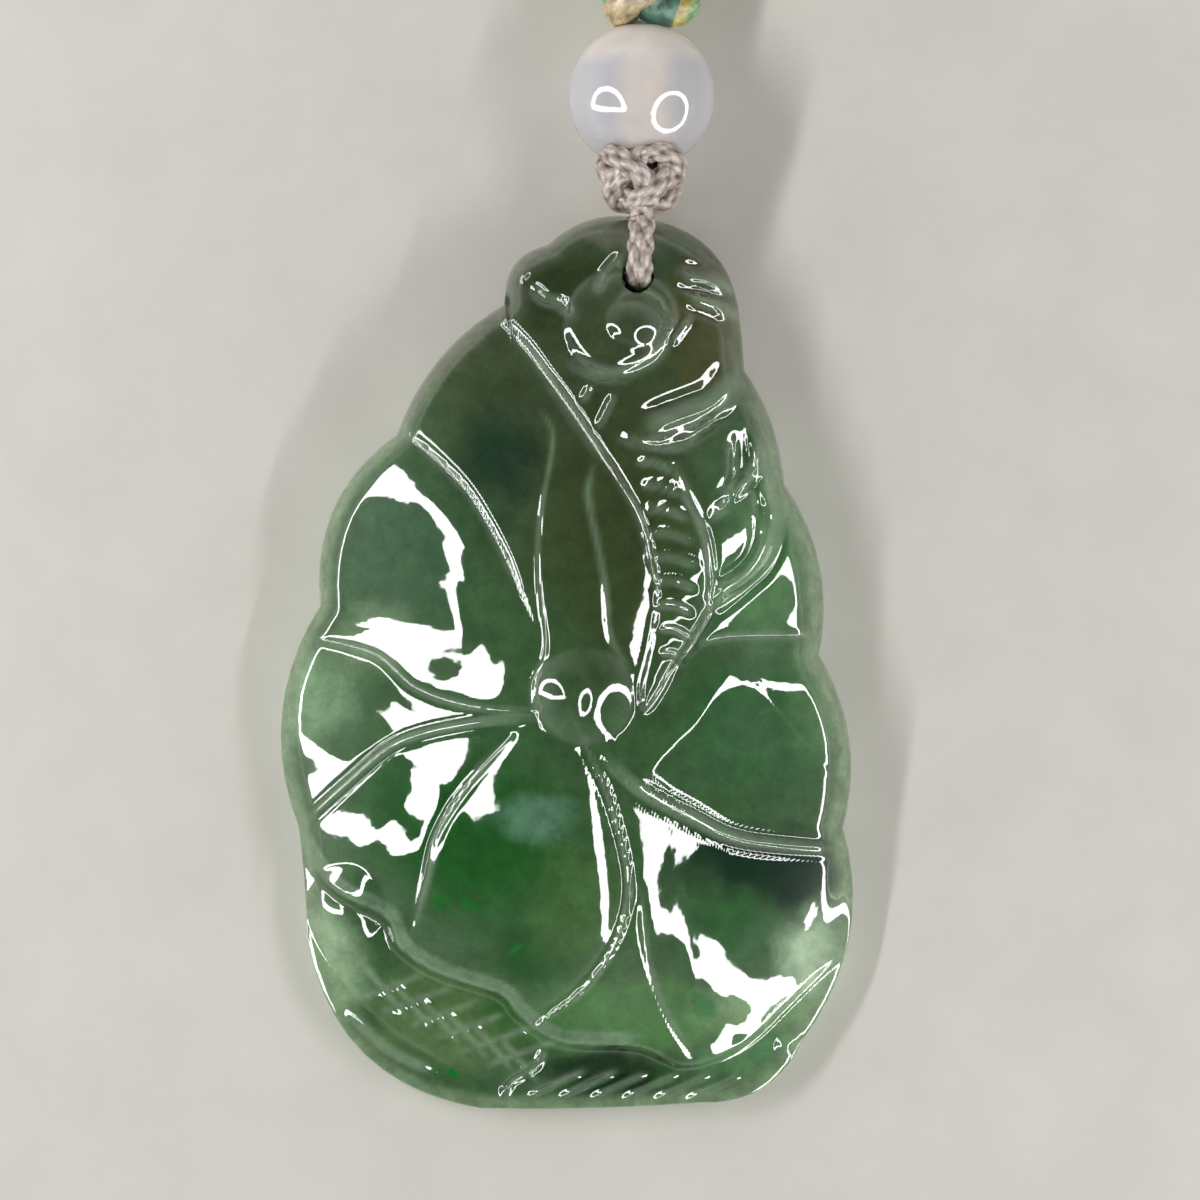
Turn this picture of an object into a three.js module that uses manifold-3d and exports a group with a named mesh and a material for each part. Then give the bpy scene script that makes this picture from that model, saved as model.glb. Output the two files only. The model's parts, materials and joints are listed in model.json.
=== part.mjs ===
// Carved jade carp pendant, lying on its flat back, with its cord, knots, bead and necklace cord.
// Millimetres. +Z is the carved front, +Y runs from the tail to the cord, +X is right as seen from the front.
// The origin is on the flat back, about the middle of the stone. All heights are above that back.
import * as THREE from 'three';
import { mergeVertices } from 'three/addons/utils/BufferGeometryUtils.js';
import Module from 'manifold-3d';

const wasm = await Module();
wasm.setup();

// Driving sizes of the stone
// Height of the stone's widest outline above the back, which rises towards the top
const RIM_HEIGHT = { low: 2.0, rise: 1.0, from: 5, to: 20 };
const FRONT_ROUND = { width: 1.1, spread: 0.05, rise: 1.7 }; // rounded edge in front of it, wider at right
const BACK_ROUND = { width: 1.2, steps: 3 }; // rounded edge behind it
// The broad doming of the front, which widens and grows squarer towards the tail
const CROWN = { rise: 5.0, x: 0, y: 2, halfWidth: 14.9, spread: 0.13, up: 28, down: 26, shoulder: 2.6 };
const PILLOW = 0.5; // how far the leaf swells between its veins
const LEAF_CURL = { drop: 1.2, reach: 4.0 }; // how the leaf rolls down to its lower rim
const BODY = { low: 0.4, rise: 0.8, reach: 1.5, least: 0.15, under: 0.7 }; // the carp's body below that rim
const LEAF_STEP = [-0.45, 0.1]; // from the body up to the leaf, measured across the rim
const FISH_STEP = { rise: 0.5, width: 0.35 }; // from the leaf up to the carp's head, back and fins
const CENTRE = [0.2, -1.4]; // the outline is seen all round from here
const GRID = 256; // finest division of the front
const TOLERANCE = 0.17; // how far a flat facet may miss the carved front

// Driving sizes of the cord and what is on it
const HOLE = { x: 3.85, y: 20.9, radius: 1.0, mouth: 1.75, mouthDepth: 1.3 };
const BACK_BEVEL = { start: 14.6, slope: 0.28 }; // the back rises towards the top, to let the cord pass under
const GAP = 0.3; // between pieces that touch
const THIN_CORD = 1.3;
const LOWER_KNOT = { x: 4.1, y: 26.35, z: 5.2, radii: [2.45, 1.95, 2.5] };
const BEAD = { x: 4.1, y: 30.85, z: 4.02, radius: 4.0, bore: 1.0 };
const BEAD_CORD_LENGTH = 7.0;
const UPPER_KNOT = { x: 4.4, y: 37.3, z: 3.2, radii: [3.0, 2.9, 3.0] };
const NECK_CORD = 1.8;
// The 600 mm necklace cord is wound flat in two layers, in to the middle and out again
const COIL = { y: 59.9, outside: 14.35, inside: 6.45, layers: 2 };
// Routes of its two ends from the knot to the coil, measured across from the knot's middle
const LEFT_END = [
  [-0.95, 40.15, 3.2], [-0.97, 40.9, 2.9], [-1.15, 41.7, 2.2], [-1.55, 42.4, 1.5], [-2.1, 42.95, 1.1],
  [-2.85, 43.58, 0.95],
];
const RIGHT_END = [
  [0.95, 40.15, 3.2], [0.97, 40.9, 2.9], [1.15, 41.7, 2.25], [1.55, 42.4, 1.65], [2.1, 42.95, 1.4],
  [2.85, 43.58, 1.45],
];

// The outline of the stone: a corner, and how far the edge bows out before the next one
const RIM = [
  { at: [4.0, 24.3], bow: 1.65 },
  { at: [9.5, 18.4], bow: 0.02 },
  { at: [9.7, 16.0], bow: 0.45 },
  { at: [11.9, 9.8], bow: 1.0 },
  { at: [13.8, 0.5], bow: 1.0 },
  { at: [15.1, -8.9], bow: 1.45 },
  { at: [12.9, -20.5], bow: 1.1 },
  { at: [7.3, -23.9], bow: 0.15 },
  { at: [-4.7, -24.2], bow: 2.3 },
  { at: [-14.1, -15.0], bow: -0.1 },
  { at: [-14.6, -8.8], bow: 1.5 },
  { at: [-13.4, 3.2], bow: 1.5 },
  { at: [-9.2, 12.5], bow: 0.85 },
  { at: [-3.3, 19.6], bow: 0.85 },
  { at: [-1.0, 22.8], bow: 0.65 },
];

// Lines cut in or raised from the front, each a smooth curve through a few places. A valley draws the
// surface down, by one share on the left of its line and by another on the right. A rib stands up between
// two fine grooves. Width and height are in millimetres.
const VEINS = [
  {
    valley: [0.3, 0.5], width: 0.4, height: -0.32,
    through: [[-1.7, -2.6], [-5.2, -2.3], [-8.2, -1.3], [-10.4, 0.5], [-13.5, 1.3]],
  },
  {
    valley: [0.1, 0.1], width: 0.35, height: 0.35,
    through: [[-1.7, -2.9], [-5.2, -3.2], [-9.0, -4.2], [-11.8, -6.4], [-14.2, -8.6]],
  },
  {
    valley: [0.1, 0.3], width: 0.4, height: -0.35,
    through: [[-3.0, -4.0], [-5.2, -6.3], [-6.9, -9.0], [-7.5, -11.2], [-8.2, -13.9]],
  },
  {
    valley: [0.25, 0.8], width: 0.35, height: 0.3,
    through: [[1.2, -4.6], [2.5, -7.7], [3.4, -11.8], [2.7, -15.0], [1.0, -17.5], [-1.4, -19.4]],
  },
  {
    valley: [0.05, 0.05], width: 0.3, height: -0.25,
    through: [[4.0, -12.0], [4.5, -16.1], [5.5, -19.1], [6.9, -21.3]],
  },
  {
    valley: [0.15, 0.15], width: 0.4, height: 0.45,
    through: [[2.2, -5.1], [4.0, -6.7], [6.7, -8.2], [9.5, -9.5], [14.8, -10.1]],
  },
  {
    valley: [0.4, 0.5], width: 0.3, height: -0.1,
    through: [[7.0, 1.0], [8.6, 1.5], [11.6, 1.6], [14.1, 1.5]],
  },
  {
    valley: [0, 0.4], width: 0.4, height: -0.32,
    through: [[-8.8, 12.6], [-6.9, 11.0], [-5.2, 9.2], [-3.6, 6.5], [-2.4, 3.9]],
  },
  {
    valley: [0.1, 0.1], width: 0.35, height: -0.25,
    through: [
      [-1.4, 13.7], [-0.7, 12.2], [-1.4, 7.8], [-1.5, 4.6],
      [-1.1, 0.9], [-1.8, -0.9], [-1.8, -2.4],
    ],
  },
];
const VALLEY_REACH = 1.3; // how far a vein's valley spreads
const GROOVE = { away: 1.9, width: 0.7, share: 0.5 }; // the fine grooves beside a rib, in widths of the rib
const EDGE_VALLEYS = { rim: 0.3, fish: 0.4 };
const FISH_EDGE = [
  [-5.0, 20.6], [-3.2, 18.3], [-1.1, 15.7], [0.2, 14.1], [1.8, 11.6], [2.9, 10.1], [4.3, 7.3], [4.9, 4.0],
  [4.6, 1.3], [4.0, -1.4], [4.3, -2.4], [5.4, -0.9], [7.9, 3.0], [10.3, 4.9], [11.5, 7.3], [12.6, 10.0],
  [14.5, 12.5],
];
const LEAF_RIM = [
  [-15.6, -7.6], [-13.7, -10.9], [-12.3, -12.4], [-9.8, -13.7], [-9.0, -15.4], [-6.9, -16.8], [-3.6, -17.9],
  [-2.5, -19.1], [-0.3, -20.5], [4.0, -20.8], [6.5, -21.8], [9.5, -20.7], [11.9, -18.6], [14.1, -16.4],
  [16.4, -14.6],
];

// Soft creases of the leaf: it falls away on both sides of a crest, each side over its own distance
const FOLDS = [
  {
    crest: 0.35, left: 2.5, right: 3.0,
    through: [[3.4, -7.2], [4.3, -6.1], [5.8, -4.3], [7.1, -3.0], [8.1, -1.4], [9.4, 0.2], [11.6, 1.3]],
  },
  {
    crest: 0.16, left: 2.0, right: 1.0,
    through: [[3.6, -0.4], [2.4, 1.6], [2.1, 4.3], [1.3, 7.9], [1.1, 9.6], [1.5, 11.0]],
  },
];

// Rounded swellings: the boss in the leaf's middle, the carp's cheek, eye and lip, and its fin and tail
const SWELLINGS = [
  { at: [1.0, -1.8], radii: [2.7, 2.65], rise: 0.6, roundness: 0.7 },
  { at: [3.0, 18.4], radii: [3.1, 3.0], rise: 0.7, roundness: 0.6 },
  { at: [4.0, 18.5], radii: [1.6, 1.5], rise: 0.5, roundness: 1 },
  { at: [-2.5, 21.3], radii: [0.6, 0.6], rise: 0.35, roundness: 0.7 },
  { at: [12.2, -20.8], radii: [0.9, 0.8], rise: 0.35, roundness: 1 },
  { at: [-12.0, -13.2], radii: [2.2, 2.4], rise: 0.6, roundness: 1.2 },
];
// Broad soft rises and hollows that shape the leaf's lobes: place, two radii and rise
const LOBE_ROUNDNESS = 1.7;
const lobe = (x, y, rx, ry, rise) => ({ at: [x, y], radii: [rx, ry], rise, roundness: LOBE_ROUNDNESS });
const LOBES = [
  lobe(12.0, -3.0, 7.0, 6.5, 0.55),
  lobe(12.0, -11.0, 6.5, 7.0, 0.35),
  lobe(14.0, -19.0, 6.5, 6.5, -0.25),
  lobe(-12.0, 2.0, 6.5, 7.5, -0.4),
  lobe(-6.5, 8.0, 6.5, 6.5, -0.2),
  lobe(-6.5, -5.0, 6.5, 7.5, -0.3),
  lobe(16.0, -1.0, 5.5, 5.5, 0.8),
  lobe(11.5, -5.5, 5.0, 5.0, -0.4),
  lobe(12.0, -16.0, 5.0, 5.0, 0.16),
  lobe(10.0, 6.0, 5.0, 5.0, 0.3),
  lobe(9.5, -14.5, 4.5, 4.5, 0.2),
  lobe(4.0, -20.0, 7.5, 7.5, -0.35),
  lobe(-4.0, -12.0, 5.0, 5.0, -0.25),
  lobe(-10.5, -11.0, 6.0, 6.0, 0.4),
  lobe(-12.0, -6.0, 5.0, 5.0, 0.3),
  lobe(-10.0, 2.0, 7.5, 7.5, -0.45),
  lobe(-8.0, 2.0, 5.0, 5.0, 0.26),
  lobe(-14.0, 4.0, 7.5, 7.5, 0.43),
  lobe(-6.0, 8.0, 7.5, 7.5, 0.28),
];

// The carp: mouth, nostril, eyelid, gill, fins and collar of scales
const CARP_LINES = [
  { through: [[-1.9, 20.5], [-1.2, 19.8], [-0.4, 19.6], [0.3, 18.9]], width: 0.3, height: -0.4 },
  { through: [[1.7, 20.2], [2.0, 21.0], [3.0, 22.2]], width: 0.3, height: -0.3 },
  { through: [[2.9, 19.9], [4.0, 20.3], [5.1, 19.8], [5.5, 19.0]], width: 0.25, height: -0.25 },
  { through: [[0.1, 16.4], [2.4, 15.6], [4.8, 16.5], [5.9, 18.4]], width: 0.4, height: -0.35 },
  {
    width: 0.3, height: -0.3,
    through: [[-3.3, 18.4], [-2.1, 17.1], [-0.9, 15.4], [0.1, 13.9], [1.3, 12.2], [2.4, 10.5]],
  },
  { through: [[6.2, 21.0], [7.8, 20.7], [9.2, 20.2]], width: 0.4, height: 0.35 },
  { through: [[6.7, 19.9], [8.1, 19.4], [9.6, 18.7]], width: 0.4, height: 0.35 },
  { through: [[9.2, 15.6], [8.1, 14.1], [6.2, 13.3], [4.3, 12.6]], width: 0.55, height: 0.45 },
  { through: [[8.5, 13.8], [7.3, 12.6], [5.9, 11.8], [2.9, 12.2]], width: 0.35, height: -0.3 },
  {
    width: 0.35, height: -0.3,
    through: [[5.9, 10.8], [6.7, 8.9], [7.6, 7.0], [7.9, 4.6], [7.7, 2.7], [6.7, 0.9], [5.3, -0.8]],
  },
  {
    width: 0.4, height: 0.35,
    through: [[10.4, 12.2], [11.0, 9.2], [11.2, 7.3], [10.6, 5.6], [9.4, 4.4], [7.9, 3.2]],
  },
  { through: [[10.4, 12.2], [10.1, 10.3], [8.6, 8.9]], width: 0.35, height: 0.3 },
  { through: [[10.7, 8.1], [10.6, 6.5], [9.7, 5.0], [8.1, 4.0]], width: 0.35, height: 0.3 },
  { through: [[9.1, 12.2], [9.1, 10.6], [8.8, 8.9], [7.8, 7.8]], width: 0.35, height: -0.3 },
];
// Rows of like lines: the rays of the carp's back, the cross cuts that make its scales, and its tail
const BACK_RAYS = { from: [3.9, 10.9], to: [5.2, 0.6], count: 9, width: 0.25, height: -0.22 };
const BACK_RAY = { length: 1.9, droop: 0.45 };
const SCALES = { from: [-9.6, -17.7], to: [-2.4, -21.3], count: 6, width: 0.25, height: -0.16 };
const SCALE_CUTS = { down: [[-1.4, 1.2], [0.85, -1.5]], up: [[-1.9, -0.6], [2.0, 0.85]] };
const TAIL_RAYS = { from: [1.0, -22.9], to: [9.6, -23.1], count: 6, width: 0.25, height: -0.2 };
const TAIL_RAY = [[0, 0.65], [-3.0, -0.65]];
const BODY_LINES = [
  { through: [[-11.6, -19.0], [-9.6, -20.9], [-7.3, -22.1]], width: 0.35, height: 0.25 },
  { through: [[-1.2, -21.0], [-1.6, -21.9], [-3.0, -22.8], [-3.4, -23.6]], width: 0.3, height: -0.3 },
];

// Smooth curve through a few places, as a line of points
function smoothLine(through, steps = 6) {
  const curve = new THREE.SplineCurve(through.map(([x, y]) => new THREE.Vector2(x, y)));
  return curve.getPoints((through.length - 1) * steps).map((p) => [p.x, p.y]);
}

// A smooth step from 0 at low to 1 at high
function step(low, high, value) {
  const t = Math.min(Math.max((value - low) / (high - low), 0), 1);
  return t * t * (3 - 2 * t);
}

// The nearest place of a line to a point: how far it is, its share of the way along, and the point's side
function nearest(line, x, y) {
  let best = { distance: Infinity, along: 0, side: 1 };
  for (let i = 0; i + 1 < line.length; i++) {
    const [ax, ay] = line[i];
    const dx = line[i + 1][0] - ax;
    const dy = line[i + 1][1] - ay;
    const t = Math.min(Math.max(((x - ax) * dx + (y - ay) * dy) / (dx * dx + dy * dy), 0), 1);
    const distance = Math.hypot(x - ax - t * dx, y - ay - t * dy);
    if (distance < best.distance) {
      const side = dx * (y - ay) - dy * (x - ax) < 0 ? -1 : 1;
      best = { distance, along: (i + t) / (line.length - 1), side };
    }
  }
  return best;
}

// The outline as a closed line of points, each stretch a parabola that bows outwards
function outlinePoints(steps = 10) {
  const points = [];
  RIM.forEach(({ at, bow }, i) => {
    const next = RIM[(i + 1) % RIM.length].at;
    const length = Math.hypot(next[0] - at[0], next[1] - at[1]);
    const out = [-(next[1] - at[1]) / length, (next[0] - at[0]) / length];
    for (let k = 0; k < steps; k++) {
      const t = k / steps;
      const lift = 4 * bow * t * (1 - t);
      points.push([0, 1].map((j) => at[j] + (next[j] - at[j]) * t + out[j] * lift));
    }
  });
  points.push(points[0]);
  return points;
}

const outline = outlinePoints();

// Distance from the centre to the outline along an angle
function outlineRadius(angle) {
  const dx = Math.cos(angle);
  const dy = Math.sin(angle);
  for (let i = 0; i + 1 < outline.length; i++) {
    const [ax, ay] = [outline[i][0] - CENTRE[0], outline[i][1] - CENTRE[1]];
    const [bx, by] = [outline[i + 1][0] - CENTRE[0], outline[i + 1][1] - CENTRE[1]];
    const sideA = dx * ay - dy * ax;
    const sideB = dx * by - dy * bx;
    if (sideA >= 0 !== sideB >= 0) {
      const t = sideA / (sideA - sideB);
      const reach = dx * (ax + t * (bx - ax)) + dy * (ay + t * (by - ay));
      if (reach > 0) return reach;
    }
  }
  return 0;
}

// Rays beside one another between two places, such as a fin's
function rays({ from, to, count, width, height }, reachOf) {
  return Array.from({ length: count }, (_, i) => {
    const t = i / (count - 1);
    const x = from[0] + (to[0] - from[0]) * t;
    const y = from[1] + (to[1] - from[1]) * t;
    return { through: reachOf(x, y, t), width, height };
  });
}

const moved = (line, x, y) => line.map(([dx, dy]) => [x + dx, y + dy]);
const carvedLines = [
  ...VEINS,
  ...CARP_LINES,
  ...BODY_LINES,
  ...rays(BACK_RAYS, (x, y, t) => {
    const reach = BACK_RAY.length * (1 + 0.5 * Math.sin(Math.PI * t) - 0.35 * t);
    return [[x, y], [x + reach / 2, y], [x + reach, y - BACK_RAY.droop]];
  }),
  ...rays(SCALES, (x, y) => moved(SCALE_CUTS.down, x, y)),
  ...rays(SCALES, (x, y) => moved(SCALE_CUTS.up, x, y)),
  ...rays(TAIL_RAYS, (x, y) => moved(TAIL_RAY, x, y)),
].map((line) => ({ ...line, points: smoothLine(line.through) }));
const folds = FOLDS.map((fold) => ({ ...fold, points: smoothLine(fold.through) }));
const fishEdge = smoothLine(FISH_EDGE);
const leafRim = smoothLine(LEAF_RIM);

// Height of the stone's widest outline above the back
const rimHeight = (y) => RIM_HEIGHT.low + RIM_HEIGHT.rise * step(RIM_HEIGHT.from, RIM_HEIGHT.to, y);

// Height of the broad dome of the front
function domeHeight(x, y) {
  const up = y - CROWN.y;
  const u = (x - CROWN.x) / (CROWN.halfWidth + CROWN.spread * Math.max(-up, 0));
  const v = up > 0 ? (up / CROWN.up) ** 2 : (-up / CROWN.down) ** CROWN.shoulder;
  const level = 1 - u ** 2 - v;
  return (CROWN.rise * (level + Math.sqrt(level ** 2 + 0.01))) / 2;
}

// Height that one rounded rise adds
function swollen({ at, radii, rise, roundness }, x, y) {
  const inside = 1 - ((x - at[0]) / radii[0]) ** 2 - ((y - at[1]) / radii[1]) ** 2;
  return inside > 0 ? rise * inside ** roundness : 0;
}

// Height that one crease of the leaf adds
function creased({ crest, left, right, points }, x, y) {
  const { distance, along, side } = nearest(points, x, y);
  const fade = step(0, 0.25, Math.min(along, 1 - along));
  return crest * fade * Math.exp(-distance / (side < 0 ? right : left));
}

// The leaf rolls down to its lower rim, and the carp's body shows below it
function belowLeaf(x, y, toRim, height) {
  const { distance, side } = nearest(leafRim, x, y);
  const leaf = height - LEAF_CURL.drop * Math.exp(-((Math.max(distance * side, 0) / LEAF_CURL.reach) ** 2));
  const free = BODY.low + BODY.rise * (1 - Math.exp(-toRim / BODY.reach));
  const gap = leaf - BODY.under - free;
  const body = Math.max(free + (gap - Math.sqrt(gap ** 2 + 0.04)) / 2, BODY.least);
  return body + (leaf - body) * step(...LEAF_STEP, distance * side);
}

// Height of the carved front above a place of the plan
function frontHeight(x, y) {
  const toRim = nearest(outline, x, y).distance;
  const edge = Math.min(toRim / (FRONT_ROUND.width + FRONT_ROUND.spread * Math.max(x, 0)), 1);
  const rounded = Math.sqrt(1 - (1 - edge) ** 2);
  let pillow = 1 - EDGE_VALLEYS.rim * Math.exp(-toRim / VALLEY_REACH);
  let detail = 0;
  for (const { points, valley, width, height } of carvedLines) {
    const { distance, along, side } = nearest(points, x, y);
    if (valley) pillow *= 1 - valley[side > 0 ? 0 : 1] * Math.exp(-distance / VALLEY_REACH);
    if (distance > 4 * width) continue;
    const ends = Math.min(1, 0.25 + 4 * Math.min(along, 1 - along));
    detail += height * ends * Math.exp(-((distance / width) ** 2));
    const beside = distance / width - GROOVE.away;
    if (height > 0) detail -= GROOVE.share * height * ends * Math.exp(-((beside / GROOVE.width) ** 2));
  }
  const fish = nearest(fishEdge, x, y);
  pillow *= 1 - EDGE_VALLEYS.fish * Math.exp(-fish.distance / VALLEY_REACH);
  let leaf = FRONT_ROUND.rise + domeHeight(x, y) + PILLOW * (pillow - 1);
  leaf += FISH_STEP.rise * step(-FISH_STEP.width, FISH_STEP.width, fish.distance * fish.side);
  for (const fold of folds) leaf += creased(fold, x, y);
  for (const lobe of LOBES) leaf += swollen(lobe, x, y);
  for (const swelling of SWELLINGS) detail += swollen(swelling, x, y);
  const top = RIM_HEIGHT.low + belowLeaf(x, y, toRim, leaf) + detail;
  const rim = rimHeight(y);
  return rim + (top - rim) * rounded;
}

// A place of the square -1..1 laid on the stone's plan, ring for ring
function onPlan(u, v) {
  const ring = Math.max(Math.abs(u), Math.abs(v));
  if (ring === 0) return CENTRE;
  const eighth = Math.PI / 4;
  let angle = Math.abs(u) >= Math.abs(v) ? eighth * (v / u) : 2 * eighth - eighth * (u / v);
  if (Math.abs(u) >= Math.abs(v) ? u < 0 : v < 0) angle += Math.PI;
  const reach = ring * outlineRadius(angle);
  return [CENTRE[0] + reach * Math.cos(angle), CENTRE[1] + reach * Math.sin(angle)];
}

// The front as triangles, halved again and again only where a flat facet would miss the carving
function frontSurface() {
  const side = GRID + 1;
  const heights = new Map();
  const place = (i, j) => {
    const key = j * side + i;
    if (!heights.has(key)) {
      const [x, y] = onPlan((2 * i) / GRID - 1, (2 * j) / GRID - 1);
      const onEdge = i === 0 || j === 0 || i === GRID || j === GRID;
      heights.set(key, [x, y, onEdge ? rimHeight(y) : frontHeight(x, y)]);
    }
    return heights.get(key);
  };
  const halves = ([ax, ay, bx, by, cx, cy]) => {
    const [mx, my] = [(ax + bx) / 2, (ay + by) / 2];
    return [[cx, cy, ax, ay, mx, my], [bx, by, cx, cy, mx, my]];
  };
  const levels = [[[0, 0, GRID, GRID, GRID, 0], [GRID, GRID, 0, 0, 0, GRID]]];
  const depth = 2 * Math.log2(GRID);
  while (levels.length < depth) levels.push(levels.at(-1).flatMap(halves));
  const misses = new Float32Array(side * side);
  const middle = ([ax, ay, bx, by]) => ((ay + by) / 2) * side + (ax + bx) / 2;
  for (const level of levels.toReversed()) {
    for (const triangle of level) {
      const [ax, ay, bx, by] = triangle;
      const [a, b, m] = [place(ax, ay), place(bx, by), place((ax + bx) / 2, (ay + by) / 2)];
      const onEdge = (ax === bx && (ax === 0 || ax === GRID)) || (ay === by && (ay === 0 || ay === GRID));
      const run = Math.hypot(b[0] - a[0], b[1] - a[1]);
      const lean = run / Math.hypot(run, b[2] - a[2]);
      const own = onEdge
        ? Math.hypot(m[0] - (a[0] + b[0]) / 2, m[1] - (a[1] + b[1]) / 2)
        : Math.abs(m[2] - (a[2] + b[2]) / 2) * lean;
      const key = middle(triangle);
      misses[key] = Math.max(misses[key], own);
      if (level !== levels.at(-1)) {
        for (const child of halves(triangle)) misses[key] = Math.max(misses[key], misses[middle(child)]);
      }
    }
  }
  const vertices = [];
  const indexOf = new Map();
  const vertex = (i, j) => {
    const key = j * side + i;
    if (!indexOf.has(key)) {
      indexOf.set(key, vertices.length);
      vertices.push(place(i, j));
    }
    return indexOf.get(key);
  };
  const triangles = [];
  const pending = [...levels[0]];
  while (pending.length) {
    const triangle = pending.pop();
    const [ax, ay, bx, by, cx, cy] = triangle;
    const whole = Number.isInteger((ax + bx) / 2) && Number.isInteger((ay + by) / 2);
    if (whole && misses[middle(triangle)] > TOLERANCE) pending.push(...halves(triangle));
    else triangles.push([vertex(bx, by), vertex(ax, ay), vertex(cx, cy)]);
  }
  const border = [];
  const corner = [[0, 0], [GRID, 0], [GRID, GRID], [0, GRID]];
  corner.forEach(([i, j], k) => {
    const [di, dj] = [Math.sign(corner[(k + 1) % 4][0] - i), Math.sign(corner[(k + 1) % 4][1] - j)];
    for (let n = 0; n < GRID; n++) {
      const key = (j + n * dj) * side + i + n * di;
      if (indexOf.has(key)) border.push(indexOf.get(key));
    }
  });
  return { vertices, triangles, border };
}

// A closed geometry from points and triangles
function geometryOf(vertices, triangles) {
  const geometry = new THREE.BufferGeometry();
  geometry.setAttribute('position', new THREE.Float32BufferAttribute(vertices.flat(), 3));
  geometry.setIndex(triangles.flat());
  return geometry;
}

// Geometry to a solid for cutting, and back
function toSolid(geometry) {
  const bare = geometry.clone();
  bare.deleteAttribute('normal');
  bare.deleteAttribute('uv');
  const merged = mergeVertices(bare, 1e-4);
  const vertProperties = new Float32Array(merged.attributes.position.array);
  const triVerts = new Uint32Array(merged.index.array);
  return new wasm.Manifold(new wasm.Mesh({ numProp: 3, vertProperties, triVerts }));
}

function fromSolid(solid) {
  const mesh = solid.getMesh();
  const geometry = new THREE.BufferGeometry();
  geometry.setAttribute('position', new THREE.BufferAttribute(new Float32Array(mesh.vertProperties), 3));
  geometry.setIndex(new THREE.BufferAttribute(new Uint32Array(mesh.triVerts), 1));
  return geometry;
}

// Solid of revolution about a line along Z through the origin, from a closed profile of [radius, height]
function turned(profile, segments) {
  const points = profile.map(([r, z]) => new THREE.Vector2(r, z));
  return new THREE.LatheGeometry(points, segments).rotateX(Math.PI / 2);
}

// The stone: carved front, rounded edge, flat back, bevelled behind its top, drilled for the cord
function stoneGeometry() {
  const { vertices, triangles, border } = frontSurface();
  let ring = border;
  for (let k = 1; k <= BACK_ROUND.steps; k++) {
    const turn = (k / BACK_ROUND.steps) * (Math.PI / 2);
    const inset = BACK_ROUND.width * (1 - Math.cos(turn));
    const next = ring.map((_, i) => {
      const [x, y] = vertices[border[i]];
      const reach = Math.hypot(x - CENTRE[0], y - CENTRE[1]);
      const share = 1 - inset / reach;
      const place = [CENTRE[0] + (x - CENTRE[0]) * share, CENTRE[1] + (y - CENTRE[1]) * share];
      vertices.push([...place, rimHeight(y) * (1 - Math.sin(turn))]);
      return vertices.length - 1;
    });
    ring.forEach((a, i) => {
      const j = (i + 1) % ring.length;
      triangles.push([a, next[i], next[j]], [a, next[j], ring[j]]);
    });
    ring = next;
  }
  vertices.push([...CENTRE, 0]);
  ring.forEach((a, i) => triangles.push([vertices.length - 1, ring[(i + 1) % ring.length], a]));
  const stone = toSolid(geometryOf(vertices, triangles));

  const size = 40;
  const bevelBlock = new THREE.BoxGeometry(size, size, size).translate(0, size / 2, -size / 2);
  bevelBlock.rotateX(Math.atan(BACK_BEVEL.slope)).translate(0, BACK_BEVEL.start, 0);
  const { radius, mouth, mouthDepth } = HOLE;
  const top = frontHeight(HOLE.x, HOLE.y);
  const bottom = (HOLE.y - BACK_BEVEL.start) * BACK_BEVEL.slope;
  const drill = turned([
    [0, bottom - 2],
    [mouth, bottom - 2],
    [mouth, bottom - 0.1],
    [radius, bottom + mouthDepth],
    [radius, top - mouthDepth],
    [mouth, top + 0.3],
    [mouth, top + 2],
    [0, top + 2],
  ], 16).translate(HOLE.x, HOLE.y, 0);
  return fromSolid(stone.subtract(toSolid(bevelBlock)).subtract(toSolid(drill)));
}

// A round cord along a curve
function cordGeometry(points, diameter, steps, sides = 8) {
  const curve = new THREE.CatmullRomCurve3(points.map((p) => new THREE.Vector3(...p)));
  const section = new THREE.Shape(Array.from({ length: sides }, (_, i) => {
    const turn = ((i + 0.5) / sides) * 2 * Math.PI;
    return new THREE.Vector2(Math.cos(turn), Math.sin(turn)).multiplyScalar(diameter / 2);
  }));
  return new THREE.ExtrudeGeometry(section, { extrudePath: curve, steps, bevelEnabled: false });
}

// Route of the thin cord: over the stone's top, through its hole and back underneath to the knot
function loopRoute() {
  const lift = THIN_CORD / 2 + GAP;
  const knotEnd = LOWER_KNOT.y - LOWER_KNOT.radii[1];
  const over = (y) => frontHeight(HOLE.x, y) + lift;
  const low = THIN_CORD / 2 + 0.02;
  return [
    [LOWER_KNOT.x, knotEnd - 0.25, 6.2],
    [LOWER_KNOT.x, 23.5, over(23.5) - 0.05],
    [4.05, 22.7, over(22.7) - 0.1],
    [3.95, 21.8, over(21.8) - 0.25],
    [HOLE.x, 21.0, over(21.3) - 1.3],
    [HOLE.x, 20.9, 3.6],
    [HOLE.x, 21.0, 1.9],
    [3.95, 21.9, low + 0.15],
    [4.05, 22.9, low],
    [LOWER_KNOT.x, 24.1, low + 0.4],
    [LOWER_KNOT.x, knotEnd + 0.5, 1.7],
    [LOWER_KNOT.x, knotEnd + 0.9, 2.45],
  ];
}

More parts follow.
